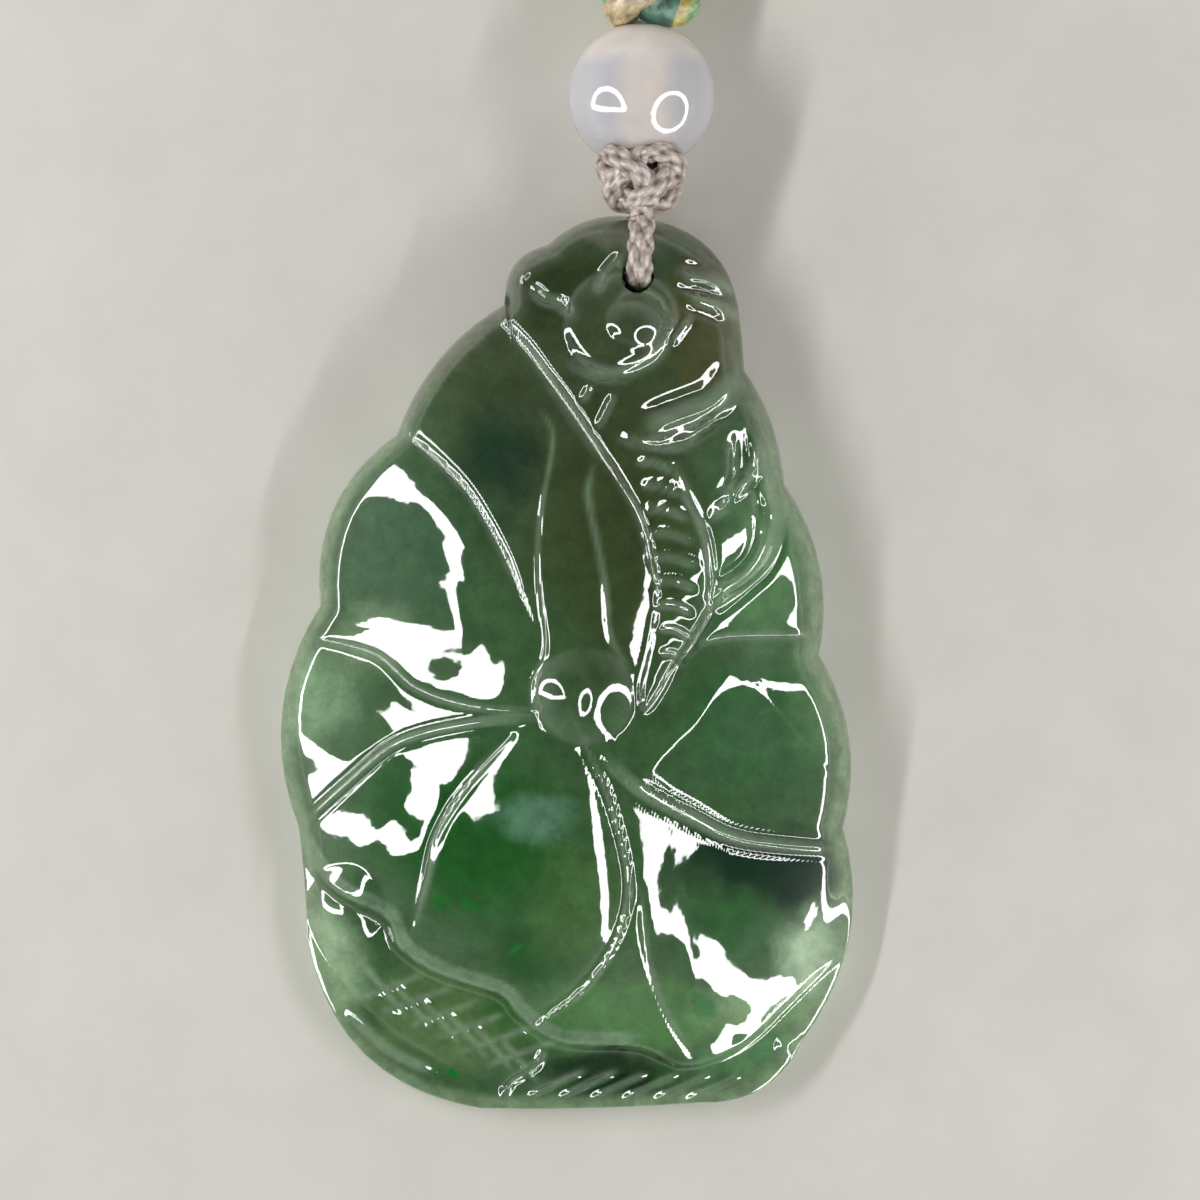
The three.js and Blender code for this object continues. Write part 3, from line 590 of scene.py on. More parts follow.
    @staticmethod
    def swollen(places: np.ndarray, rises: list[Swelling]) -> np.ndarray:
        """Height that a list of rounded rises adds at each place.

        Args:
            places: Rows of x and y.
            rises: The rises.

        Returns:
            What they add to the height.
        """
        total = np.zeros(len(places))
        for rise in rises:
            u = (places[:, 0] - rise.at[0]) / rise.radii[0]
            v = (places[:, 1] - rise.at[1]) / rise.radii[1]
            total += rise.rise * np.maximum(1 - u**2 - v**2, 0) ** rise.roundness
        return total

    def below_leaf(self, places: np.ndarray, to_rim: np.ndarray, top: np.ndarray) -> np.ndarray:
        """Curls the leaf's lower rim down, and lets the carp's body show below it.

        Args:
            places: Rows of x and y.
            to_rim: Their distance from the outline.
            top: Height of the front, as if the leaf went on to the outline.

        Returns:
            The height with the carp's body in it.
        """
        away, _, side = nearest(self.leaf_rim, places)
        drop, reach = self.leaf_curl
        leaf = top - drop * np.exp(-((np.where(side > 0, away, 0) / reach) ** 2))
        low, high, width = self.body_rise
        body = low + high * (1 - np.exp(-to_rim / width))
        gap = leaf - self.leaf_step - body
        body = body + 0.5 * (gap - np.sqrt(gap**2 + 0.04))
        body = np.maximum(body, self.least_body)
        return body + (leaf - body) * smooth_step(-0.45, 0.1, away * side)


# Finishes


class NodeTree:
    """A short way to write a material's nodes."""

    def __init__(self, name: str) -> None:
        """Starts a material that holds only its surface shader and output.

        Args:
            name: The material's name.
        """
        self.material = bpy.data.materials.new(name)
        self.material.use_nodes = True
        self.nodes = self.material.node_tree.nodes
        self.links = self.material.node_tree.links
        self.shader = self.nodes["Principled BSDF"]

    def add(self, kind: str, inputs: dict | None = None, **settings: object) -> bpy.types.Node:
        """Adds a node.

        Args:
            kind: The node's type without its ShaderNode prefix.
            inputs: Values or sockets for its inputs, by name or number.
            settings: Its other settings.

        Returns:
            The node.
        """
        node = self.nodes.new("ShaderNode" + kind)
        for key, value in settings.items():
            setattr(node, key, value)
        for key, value in (inputs or {}).items():
            self.feed(node.inputs[key], value)
        return node

    def feed(self, socket: Socket, value: Socket | float | tuple) -> None:
        """Links a socket to another, or sets its value.

        Args:
            socket: The input.
            value: What it gets.
        """
        if isinstance(value, Socket):
            self.links.new(value, socket)
        else:
            socket.default_value = value

    def math(self, operation: str, *values: Socket | float) -> Socket:
        """The result of a sum of one, two or three values or sockets."""
        return self.add("Math", dict(enumerate(values)), operation=operation).outputs[0]

    def mix(
        self, share: Socket | float, first: Socket | tuple, second: Socket | tuple, blend: str = "MIX"
    ) -> Socket:
        """A mix of two colours by a share.

        Args:
            share: How much of the second colour there is.
            first: The first colour.
            second: The second colour.
            blend: How the two are put together.

        Returns:
            The mixed colour.
        """
        node = self.add("Mix", data_type="RGBA", blend_type=blend)
        for key, value in ((0, share), (6, first), (7, second)):
            self.feed(node.inputs[key], value)
        return node.outputs[2]

    def place(self, scale: float = 1.0) -> Socket:
        """Object coordinates in millimetres times a scale.

        Args:
            scale: What the millimetres are multiplied by.

        Returns:
            The coordinates.
        """
        coordinates = self.add("TexCoord").outputs["Object"]
        size = scale / MM
        return self.add("Mapping", {"Vector": coordinates, "Scale": (size, size, size)}).outputs[0]

    def noise(
        self, vector: Socket, scale: float, detail: float = 3.0, rough: float = 0.5, colour: bool = False
    ) -> Socket:
        """Noise over a vector, as one number or as a colour."""
        inputs = {"Vector": vector, "Scale": scale, "Detail": detail, "Roughness": rough}
        return self.add("TexNoise", inputs).outputs["Color" if colour else 0]

    def spread(
        self, value: Socket, low: float, high: float, out_low: float = 0.0, out_high: float = 1.0
    ) -> Socket:
        """A value stretched from one range to another, and kept inside it."""
        names = {"Value": value, "From Min": low, "From Max": high, "To Min": out_low, "To Max": out_high}
        return self.add("MapRange", names).outputs[0]

    def set_shader(self, values: dict[str, float | tuple]) -> None:
        """Sets numbers of the surface shader by their sockets' names."""
        for name, value in values.items():
            self.shader.inputs[name].default_value = value

    def values(self, name: str) -> Socket:
        """The numbers that a piece keeps on its vertices under a name."""
        return self.add("Attribute", attribute_name=name).outputs["Fac"]

    def bump(self, height: Socket, distance: float, strength: float = 1.0) -> None:
        """Gives the surface a fine bump, its distance in millimetres."""
        node = self.add("Bump", {"Height": height, "Distance": distance * MM, "Strength": strength})
        self.feed(self.shader.inputs["Normal"], node.outputs[0])


def colour(red: float, green: float, blue: float) -> tuple[float, float, float, float]:
    """A colour for a socket, from screen values between 0 and 255.

    Args:
        red: How red it is.
        green: How green it is.
        blue: How blue it is.

    Returns:
        Red, green, blue and how opaque it is.
    """
    screen = [value / 255 for value in (red, green, blue)]
    linear = [((v + 0.055) / 1.055) ** 2.4 if v > 0.04 else v / 12.92 for v in screen]
    return (*linear, 1.0)


@dataclass(frozen=True)
class Cloud:
    """A soft patch of colour inside the stone."""

    at: Point2
    radii: Point2
    tint: tuple[float, float, float]
    strength: float = 1.0
    turn: float = 0.0


CLOUDS = [
    Cloud((0.0, 15.0), (11.0, 13.0), (70, 84, 56), 0.9),
    Cloud((2.5, 6.5), (5.0, 11.0), (64, 78, 42), 0.8),
    Cloud((-3.6, 11.0), (3.4, 3.6), (30, 62, 44), 0.8),
    Cloud((-8.5, 6.0), (5.0, 6.0), (66, 104, 72), 0.7),
    Cloud((10.5, 5.0), (3.5, 5.5), (96, 146, 92), 0.7),
    Cloud((10.5, -3.5), (5.5, 4.5), (58, 108, 62), 0.9),
    Cloud((-13.5, -1.5), (3.2, 3.2), (136, 172, 132), 0.8),
    Cloud((-9.5, -7.0), (5.0, 3.6), (56, 104, 58), 0.8),
    Cloud((-4.5, -9.5), (7.0, 7.0), (32, 98, 36), 0.9),
    Cloud((-1.4, -16.0), (4.2, 3.4), (4, 84, 10), 1.0),
    Cloud((-1.5, -8.2), (3.0, 2.2), (104, 148, 120), 0.8),
    Cloud((1.0, -13.5), (4.0, 4.5), (84, 124, 68), 0.7),
    Cloud((10.5, -11.2), (6.5, 2.4), (4, 50, 28), 1.0, -6.0),
    Cloud((8.5, -14.0), (4.5, 2.2), (50, 104, 54), 0.8),
    Cloud((14.0, -16.5), (3.4, 4.2), (186, 214, 178), 0.98),
    Cloud((3.5, -19.0), (8.0, 2.6), (84, 136, 72), 0.8),
    Cloud((-13.5, -16.5), (3.2, 4.4), (160, 192, 150), 0.95),
    Cloud((-7.0, -19.5), (5.0, 3.5), (96, 128, 76), 0.8),
    Cloud((2.2, -22.2), (4.8, 1.8), (4, 50, 8), 1.0),
    Cloud((10.5, -21.5), (4.0, 2.4), (104, 150, 104), 0.8),
    Cloud((10.6, -18.6), (4.2, 2.2), (132, 168, 120), 0.9),
    Cloud((-10.5, 1.2), (3.2, 2.0), (114, 144, 106), 0.8),
    Cloud((12.9, -2.0), (2.4, 3.6), (94, 134, 86), 0.7),
    Cloud((7.6, 18.0), (3.2, 4.4), (80, 82, 44), 0.9),
    Cloud((7.4, 21.6), (2.6, 2.6), (66, 70, 38), 0.9),
    Cloud((1.4, 23.6), (5.0, 1.7), (116, 122, 102), 0.95),
    Cloud((-0.6, 20.0), (3.4, 2.6), (50, 66, 36), 0.9),
    Cloud((-6.7, -12.8), (0.9, 0.5), (0, 118, 24), 0.8, 40.0),
    Cloud((-5.2, -13.1), (0.7, 0.4), (6, 120, 30), 0.8, -30.0),
    Cloud((-3.0, -15.5), (0.9, 0.4), (10, 122, 34), 0.7, 30.0),
    Cloud((-0.4, -19.7), (0.8, 0.5), (10, 126, 34), 0.7, 0.0),
    Cloud((-6.4, -22.6), (0.8, 0.5), (10, 134, 34), 0.9, 0.0),
    Cloud((7.5, -18.2), (0.8, 0.5), (20, 120, 44), 0.7, 45.0),
]


@dataclass(frozen=True)
class JadeFinish:
    """Polished translucent jadeite, clouded from pale to dark green."""

    ground: tuple[float, float, float] = (70, 106, 66)
    # Painted light showing through the thin rim: pale, and greyer towards the top
    pale: tuple[float, float, float] = (138, 162, 128)
    see_through_top: tuple[float, float, float] = (104, 112, 94)
    # Painted pale band of light along the leaf's lower rim
    leaf_lip_glow: tuple[float, float, float] = (126, 154, 124)
    line: tuple[float, float, float] = (138, 164, 134)
    line_share: float = 0.6
    roughness: float = 0.04
    index: float = 1.66
    depth: float = 0.9
    inside: float = 0.35
    wander: float = 5.0
    polish: float = 0.012

    def cloud_share(self, tree: NodeTree, cloud: Cloud, warped: Socket) -> Socket:
        """How strongly one cloud shows at each place, from 0 to its strength.

        Args:
            tree: The material's nodes.
            cloud: The cloud.
            warped: Coordinates in millimetres that wander a little.

        Returns:
            The share.
        """
        rx, ry = cloud.radii
        spot = (*cloud.at, 0)
        shifted = tree.add("VectorMath", {0: warped, 1: spot}, operation="SUBTRACT").outputs[0]
        turned = {"Vector": shifted, "Rotation": (0, 0, -math.radians(cloud.turn)), "Scale": (1, 1, 0)}
        mapped = tree.add("Mapping", turned).outputs[0]
        sizes = (1 / rx, 1 / ry, 1)
        sized = tree.add("VectorMath", {0: mapped, 1: sizes}, operation="MULTIPLY").outputs[0]
        length = tree.add("VectorMath", {0: sized}, operation="LENGTH").outputs["Value"]
        fade = {"Value": length, "From Min": 1.15, "From Max": 0.25, "To Max": cloud.strength}
        node = tree.add("MapRange", fade)
        node.interpolation_type = "SMOOTHERSTEP"
        return node.outputs[0]

    def clouded(self, tree: NodeTree, place: Socket) -> Socket:
        """The stone's colour with all its clouds, whose edges wander.

        Args:
            tree: The material's nodes.
            place: Coordinates in millimetres.

        Returns:
            The colour.
        """
        wander = tree.noise(place, 0.22, 4.0, 0.55, colour=True)
        centred = tree.add("VectorMath", {0: wander, 1: (0.5, 0.5, 0.5)}, operation="SUBTRACT").outputs[0]
        pushed = tree.add("VectorMath", {0: centred, "Scale": self.wander}, operation="SCALE").outputs[0]
        warped = tree.add("VectorMath", {0: place, 1: pushed}).outputs[0]
        body = colour(*self.ground)
        for cloud in CLOUDS:
            body = tree.mix(self.cloud_share(tree, cloud, warped), body, colour(*cloud.tint))
        return body

    def paint_glow_and_pale_lines(self, tree: NodeTree, place: Socket, grain: Socket, body: Socket) -> Socket:
        """Paints light showing through the thin rim and a pale band of light along the leaf's lower rim, and
        pales the carved lines.

        Args:
            tree: The material's nodes.
            place: Coordinates in millimetres.
            grain: Noise that breaks up the pale parts.
            body: The colour so far.

        Returns:
            The colour with its painted light and its pale lines.
        """
        across, along = tree.add("SeparateXYZ", {0: place}).outputs[:2]
        # Painted light through the thin rim, greyer towards the top
        rim = tree.mix(tree.spread(along, 11.0, 16.0), colour(*self.pale), colour(*self.see_through_top))
        streaks = tree.spread(grain, 0.3, 0.7, 0.55, 0.85)
        right_of_crown = tree.math("MULTIPLY", tree.spread(across, 4.5, 6.5), tree.spread(along, 14.0, 17.0))
        kept = tree.math("SUBTRACT", 1.0, tree.math("MULTIPLY", right_of_crown, 0.7))
        thin = tree.math("MULTIPLY", tree.values("thin_rim_glow"), kept)
        body = tree.mix(tree.math("MULTIPLY", thin, streaks), body, rim)
        # A painted pale band of light along the leaf's lower rim
        edge = tree.math("MULTIPLY", tree.values("leaf_lip_glow"), streaks)
        body = tree.mix(edge, body, colour(*self.leaf_lip_glow))
        lines = tree.math("MULTIPLY", tree.values("carving"), self.line_share)
        return tree.mix(lines, body, colour(*self.line))

    def make(self) -> bpy.types.Material:
        """Builds the material.

        Returns:
            The material.
        """
        tree = NodeTree("jade")
        place = tree.place()
        grain = tree.noise(place, 0.9, 5.0, 0.6)
        body = self.paint_glow_and_pale_lines(tree, place, grain, self.clouded(tree, place))
        mottle = tree.spread(grain, 0.3, 0.7, 0.80, 1.22)
        fine = tree.spread(tree.noise(place, 4.0, 3.0, 0.6), 0.3, 0.7, 0.92, 1.08)
        both = tree.math("MULTIPLY", mottle, fine)
        shade = tree.add("CombineColor", {0: both, 1: both, 2: both}).outputs[0]
        tree.feed(tree.shader.inputs["Base Color"], tree.mix(1.0, body, shade, "MULTIPLY"))
        tree.set_shader({
            "Roughness": self.roughness,
            "IOR": self.index,
            "Subsurface Weight": self.inside,
            "Subsurface Radius": (0.7, 1.0, 0.7),
            "Subsurface Scale": self.depth * MM,
        })
        tree.bump(tree.noise(place, 0.7, 2.0, 0.5), self.polish)
        return tree.material


@dataclass(frozen=True)
class ChalcedonyFinish:
    """Polished milky chalcedony, whitest at its top and down the middle where the bore runs."""

    milk: tuple[float, float, float] = (206, 205, 210)
    cream: tuple[float, float, float] = (244, 234, 226)
    roughness: float = 0.03
    index: float = 1.54
    depth: float = 2.0
    polish: float = 0.01
    middle_x: float = 4.3

    def make(self) -> bpy.types.Material:
        """Builds the material.

        Returns:
            The material.
        """
        tree = NodeTree("chalcedony")
        place = tree.place()
        parts = tree.add("SeparateXYZ", {0: place}).outputs
        aside = tree.math("ABSOLUTE", tree.math("SUBTRACT", parts[0], self.middle_x))
        middle = tree.spread(aside, 1.9, 0.8)
        high = tree.spread(parts[1], 32.4, 33.2)
        band = tree.math("MAXIMUM", middle, high)
        veil = tree.spread(tree.noise(place, 0.5, 3.0, 0.5), 0.3, 0.7, 0.55, 1.0)
        body = tree.mix(tree.math("MULTIPLY", band, veil), colour(*self.milk), colour(*self.cream))
        tree.feed(tree.shader.inputs["Base Color"], body)
        tree.set_shader({
            "Roughness": self.roughness,
            "IOR": self.index,
            "Subsurface Weight": 0.5,
            "Subsurface Radius": (1.0, 0.95, 1.0),
            "Subsurface Scale": self.depth * MM,
        })
        tree.bump(tree.noise(place, 1.0, 2.0, 0.5), self.polish)
        return tree.material


class CordColour(Enum):
    """The thread colours of the cords, as screen values, with the colours of their painted glints and painted
    shade.
    """

    TAUPE = (172, 152, 142)
    # A lighter thread colour that also stands for painted glints
    SILVER = (236, 222, 210)
    SHADOW = (70, 56, 52)
    # Painted shade: the near black of the knot's core seen between its strands
    INSIDE = (20, 15, 14)
    BEIGE = (246, 220, 164)
    TEAL = (70, 140, 112)
    MINT = (176, 228, 150)
    YELLOW = (232, 214, 84)


@dataclass(frozen=True)
class CordFinish:
    """Braided cord: threads that run with the strands, with streaks of a lighter colour along them that are
    partly painted glints, and painted shade in the gaps between them.
    """

    name: str
    main: CordColour
    light: CordColour
    roughness: float = 0.42
    sheen: float = 0.2
    # gaps: how far the painted shade darkens the gaps between the strands
    gaps: float = 0.9
    zones: bool = False
    zone_dim: float = 0.78

    def make(self) -> bpy.types.Material:
        """Builds the material.

        Returns:
            The material.
        """
        tree = NodeTree(self.name)
        place = tree.place()
        height = tree.values("strand")
        thread = tree.add("Mapping", {"Vector": tree.add("UVMap").outputs[0], "Scale": (26.0, 3.0, 1.0)})
        fibre = tree.noise(thread.outputs[0], 1.0, 3.0)
        speck = tree.noise(place, 2.2, 3.0, 0.6)
        # Streaks of the light colour along the threads; for the taupe cord these are partly painted glints
        base = tree.mix(tree.spread(fibre, 0.35, 0.7), colour(*self.main.value), colour(*self.light.value))
        if self.zones:
            base = self.zone_colours(tree, base, fibre)
        dark, inside = colour(*CordColour.SHADOW.value), colour(*CordColour.INSIDE.value)
        base = tree.mix(tree.spread(speck, 0.4, 0.75, 0.0, 0.35), base, dark)
        # Painted shade in the gaps, where the braid lies low
        base = tree.mix(tree.spread(height, 0.8, 0.2, 0.0, self.gaps), base, dark)
        # Painted shade, near black, on the knot's core, whose strand height is -1
        base = tree.mix(tree.spread(height, 0.0, -1.0, 0.0, 0.9), base, inside)
        tree.feed(tree.shader.inputs["Base Color"], base)
        tree.set_shader({"Roughness": self.roughness, "Sheen Weight": self.sheen})
        tree.bump(fibre, 0.04, 0.8)
        return tree.material

    def zone_colours(self, tree: NodeTree, base: Socket, fibre: Socket) -> Socket:
        """Colours of the four strands of the necklace cord, by the strand number that the piece keeps.

        Args:
            tree: The material's nodes.
            base: The colour so far.
            fibre: Noise that runs along the threads.

        Returns:
            The colour of each strand.
        """
        which = tree.values("ply")
        tints = (CordColour.BEIGE, CordColour.TEAL, CordColour.YELLOW, CordColour.MINT)
        for number, tint in enumerate(tints):
            dim = colour(*[v * self.zone_dim for v in tint.value])
            shade = tree.mix(tree.spread(fibre, 0.35, 0.7), dim, colour(*tint.value))
            base = tree.mix(tree.math("COMPARE", which, float(number), 0.5), base, shade)
        return base


# Pieces


@dataclass
class CarvedStone:
    """The pendant itself: one solid, carved in front, flat behind and drilled for its cord."""

    relief: Relief
    finish: JadeFinish = JadeFinish()
    grid: int = 256
    back_width: float = 1.2
    back_steps: int = 7
    back_rings: int = 10
    bevel_start: float = 14.6
    bevel_slope: float = 0.28
    hole: Point2 = (3.85, 20.9)
    hole_radius: float = 0.75
    mouth_radius: float = 0.8
    crowding: float = 1.35
    rim_places: np.ndarray = field(init=False)

    def back_height(self, y: np.ndarray) -> np.ndarray:
        """Height of the back at each place, which rises behind the stone's top."""
        bend = y - self.bevel_start
        return self.bevel_slope * (bend + np.sqrt(bend**2 + 0.15)) / 2

    def on_plan(self, square: np.ndarray) -> np.ndarray:
        """Lays a square from -1 to 1 on the stone's plan, ring for ring, closer together at the rim.

        Args:
            square: Rows of two numbers.

        Returns:
            Rows of x and y in millimetres.
        """
        u, v = square[:, 0], square[:, 1]
        ring = np.maximum(np.abs(u), np.abs(v))
        eighth = math.pi / 4
        wide = np.abs(u) >= np.abs(v)
        safe_u, safe_v = np.where(u == 0, 1, u), np.where(v == 0, 1, v)
        angle = np.where(wide, eighth * v / safe_u, 2 * eighth - eighth * u / safe_v)
        angle = angle + np.where(np.where(wide, u < 0, v < 0), math.pi, 0)
        angle = (angle + math.pi) % (2 * math.pi) - math.pi
        share = 1 - (1 - np.minimum(ring, 1)) ** self.crowding
        reach = share * self.relief.reach_at(angle)
        centre = self.relief.centre
        return np.stack([centre[0] + reach * np.cos(angle), centre[1] + reach * np.sin(angle)], 1)

    def front(self) -> bpy.types.Object:
        """A fine grid laid on the plan and raised to the carving.

        Returns:
            The open front.
        """
        deselect_all()
        bpy.ops.mesh.primitive_grid_add(x_subdivisions=self.grid, y_subdivisions=self.grid, size=2)
        stone = bpy.context.object
        square = read_points(stone)[:, :2]
        places = self.on_plan(square)
        heights, near = self.relief.front(places)
        on_rim = np.abs(square).max(axis=1) > 0.9999
        heights[on_rim] = self.relief.rim_level(places[on_rim, 1])
        write_points(stone, np.column_stack([places, heights]) * MM)
        store_values(stone, "carving", near)
        return stone

    def close_back(self, stone: bpy.types.Object) -> None:
        """Carries the open edge round the back in rings and closes its middle.

        Args:
            stone: The open front, closed in place.
        """
        make_active(stone)
        bpy.ops.object.mode_set(mode="EDIT")
        bpy.ops.mesh.select_mode(type="EDGE")
        bpy.ops.mesh.select_all(action="DESELECT")
        bpy.ops.mesh.select_non_manifold()
        bpy.ops.mesh.extrude_edges_move()
        bpy.ops.object.mode_set(mode="OBJECT")
        picked = np.empty(len(stone.data.vertices), bool)
        stone.data.vertices.foreach_get("select", picked)
        points = read_points(stone)
        self.rim_places = points[picked][:, :2] / MM
        distance = np.hypot(*(self.rim_places - np.array(self.relief.centre)).T)
        order = np.flatnonzero(picked)
        if not np.array_equal(order, np.arange(len(points) - len(order), len(points))):
            raise RuntimeError("the extruded ring isn't at the end of the mesh")
        for k in range(1, self.back_steps + 1):
            turn = k / self.back_steps * math.pi / 2
            shrink = self.back_width * (1 - math.cos(turn)) / distance[:, None]
            self.ring(stone, shrink, 1 - math.sin(turn), first=k == 1)
        last = self.back_width / distance[:, None]
        for k in range(1, self.back_rings):
            share = (k / self.back_rings) ** 1.1
            self.ring(stone, last + (1 - last) * share, 0.0)
        bpy.ops.object.mode_set(mode="EDIT")
        bpy.ops.mesh.edge_face_add()
        bpy.ops.mesh.poke()
        bpy.ops.object.mode_set(mode="OBJECT")

    def ring(
        self, stone: bpy.types.Object, shrink: np.ndarray, share_up: float, first: bool = False
    ) -> None:
        """Puts the newest ring in place, after extruding it unless it is the first one.

        Args:
            stone: The stone.
            shrink: How far each place has moved towards the centre, as a share.
            share_up: How high the ring is, from 0 at the back to 1 at the rim.
            first: Whether the ring is there already.
        """
        if not first:
            bpy.ops.object.mode_set(mode="EDIT")
            bpy.ops.mesh.extrude_edges_move()
            bpy.ops.object.mode_set(mode="OBJECT")
        count = len(self.rim_places)
        points = read_points(stone)
        centre = np.array(self.relief.centre)
        places = centre + (self.rim_places - centre) * (1 - shrink)
        back = self.back_height(places[:, 1])
        rim = self.relief.rim_level(self.rim_places[:, 1])
        heights = back + (rim - back) * share_up
        points[-count:] = np.column_stack([places, heights]) * MM
        write_points(stone, points)

    def drill(self, stone: bpy.types.Object) -> None:
        """Cuts the cord's hole, worn wider at both mouths.

        Args:
            stone: The closed stone, cut in place.
        """
        x, y = self.hole
        top = float(self.relief.height(np.array([[x, y]]))[0])
        bottom = float(self.back_height(np.array([y]))[0])
        hole, mouth = self.hole_radius, self.mouth_radius
        z, radius = bottom - 1, mouth
        deselect_all()
        bpy.ops.mesh.primitive_circle_add(
            vertices=48, radius=radius * MM, fill_type="NGON", location=(x * MM, y * MM, z * MM)
        )
        cutter = bpy.context.object
        levels = [
            (bottom + 0.1, mouth), (bottom + 0.6, hole * 1.25), (bottom + 1.4, hole),
            (top - 1.4, hole), (top - 0.6, hole * 1.25), (top + 0.1, mouth), (top + 1.2, mouth * 1.3),
        ]
        bpy.ops.object.mode_set(mode="EDIT")
        for next_z, next_radius in levels:
            bpy.ops.mesh.extrude_region_move(TRANSFORM_OT_translate={"value": (0, 0, (next_z - z) * MM)})
            size = next_radius / radius
            bpy.ops.transform.resize(value=(size, size, 1), center_override=(x * MM, y * MM, next_z * MM))
            z, radius = next_z, next_radius
        face_outward(cutter)
        cut = stone.modifiers.new("hole", "BOOLEAN")
        cut.operation = "DIFFERENCE"
        cut.object = cutter
        cut.solver = "EXACT"
        apply_modifiers(stone)
        bpy.data.objects.remove(cutter)

    def mark_painted_glow(self, stone: bpy.types.Object) -> None:
        """Keeps on the mesh where light is painted: how thin the stone is at its rim, for painted light
        through it, and the band along the leaf's lower rim that is painted pale with light.

        Args:
            stone: The finished mesh.
        """
        places = read_points(stone)[:, :2] / MM
        to_rim = nearest(self.relief.outline, places)[0]
        width = 1.0 + 0.6 * smooth_step(13, 17, places[:, 1]) + 0.4 * smooth_step(6, 12, places[:, 0])
        # How thin the stone is near its rim, where light through it is painted
        store_values(stone, "thin_rim_glow", 1 - smooth_step(0.3, 1.0, to_rim / width))
        # The band along the leaf's lower rim that is painted pale with light
        away, along, side = nearest(self.relief.leaf_rim, places)
        up = away * side
        band = smooth_step(-0.1, 0.1, up) * (1 - smooth_step(0.6, 0.85, up))
        store_values(stone, "leaf_lip_glow", band * smooth_step(0, 0.03, np.minimum(along, 0.65 - along)))

    def build(self) -> bpy.types.Object:
        """Builds the stone and dresses it.

        Returns:
            The finished stone.
        """
        stone = self.front()
        self.close_back(stone)
        face_outward(stone)
        self.drill(stone)
        settle(stone, "carved_stone")
        self.mark_painted_glow(stone)
        smooth(stone)
        stone.data.materials.append(self.finish.make())
        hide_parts("jade_carp_pendant")
        return stone


@dataclass
class Bead:
    """The round bead on the cord, with its bore."""

    centre: Point3 = (4.1, 30.85, 4.02)
    radius: float = 4.0
    bore: float = 1.0
    finish: ChalcedonyFinish = ChalcedonyFinish()

    def build(self) -> bpy.types.Object:
        """Builds the bead and dresses it.

        Returns:
            The finished bead.
        """
        deselect_all()
        place = [v * MM for v in self.centre]
        turned = (math.pi / 2, 0, 0)
        bpy.ops.mesh.primitive_uv_sphere_add(
            segments=128, ring_count=64, radius=self.radius * MM, location=place, rotation=turned
        )
        bead = bpy.context.object
        bpy.ops.mesh.primitive_cylinder_add(
            vertices=64, radius=self.bore * MM, depth=3 * self.radius * MM, location=place, rotation=turned
        )
        cutter = bpy.context.object
        cut = bead.modifiers.new("bore", "BOOLEAN")
        cut.operation = "DIFFERENCE"
        cut.object = cutter
        apply_modifiers(bead)
        bpy.data.objects.remove(cutter)
        soften = bead.modifiers.new("worn_edge", "BEVEL")
        soften.width = 0.12 * MM
        soften.segments = 3
        soften.limit_method = "ANGLE"
        soften.angle_limit = math.radians(40)
        apply_modifiers(bead)
        settle(bead, "round_bead")
        bpy.ops.object.shade_smooth_by_angle(angle=math.radians(40))
        bead.data.materials.append(self.finish.make())
        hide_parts("chalcedony_bead")
        return bead


@dataclass(frozen=True)
class Braid:
    """How a cord is braided: strands each way round, length of a stitch, and how far strands stand out."""

    strands: int = 4
    stitch: float = 0.85
    relief: float = 0.12
    flat: float = 1.0

    def surface(self, around: np.ndarray, along: np.ndarray) -> tuple[np.ndarray, np.ndarray]:
        """The braid over a cord's surface.

        Args:
            around: Share of the way round the cord.
            along: Distance along the cord, in millimetres.

        Returns:
            Height of the surface from 0 in the gaps to 1, and the number of the strand that lies on top.
        """
        one_way = self.strands * around + along / (2 * self.stitch)
        other_way = self.strands * around - along / (2 * self.stitch)
        k, m = np.round(one_way), np.round(other_way)
        over = np.where((k + m) % 2 == 0, 1.0, -1.0)
        first = np.cos(math.pi * (one_way - k)) + 0.45 * over * np.cos(math.pi * (other_way - m))
        second = np.cos(math.pi * (other_way - m)) - 0.45 * over * np.cos(math.pi * (one_way - k))
        height = np.maximum(first, second) / 1.45
        ply = np.where(first > second, k % self.strands, (m + 2) % self.strands)
        return np.clip(height, 0, 1), ply


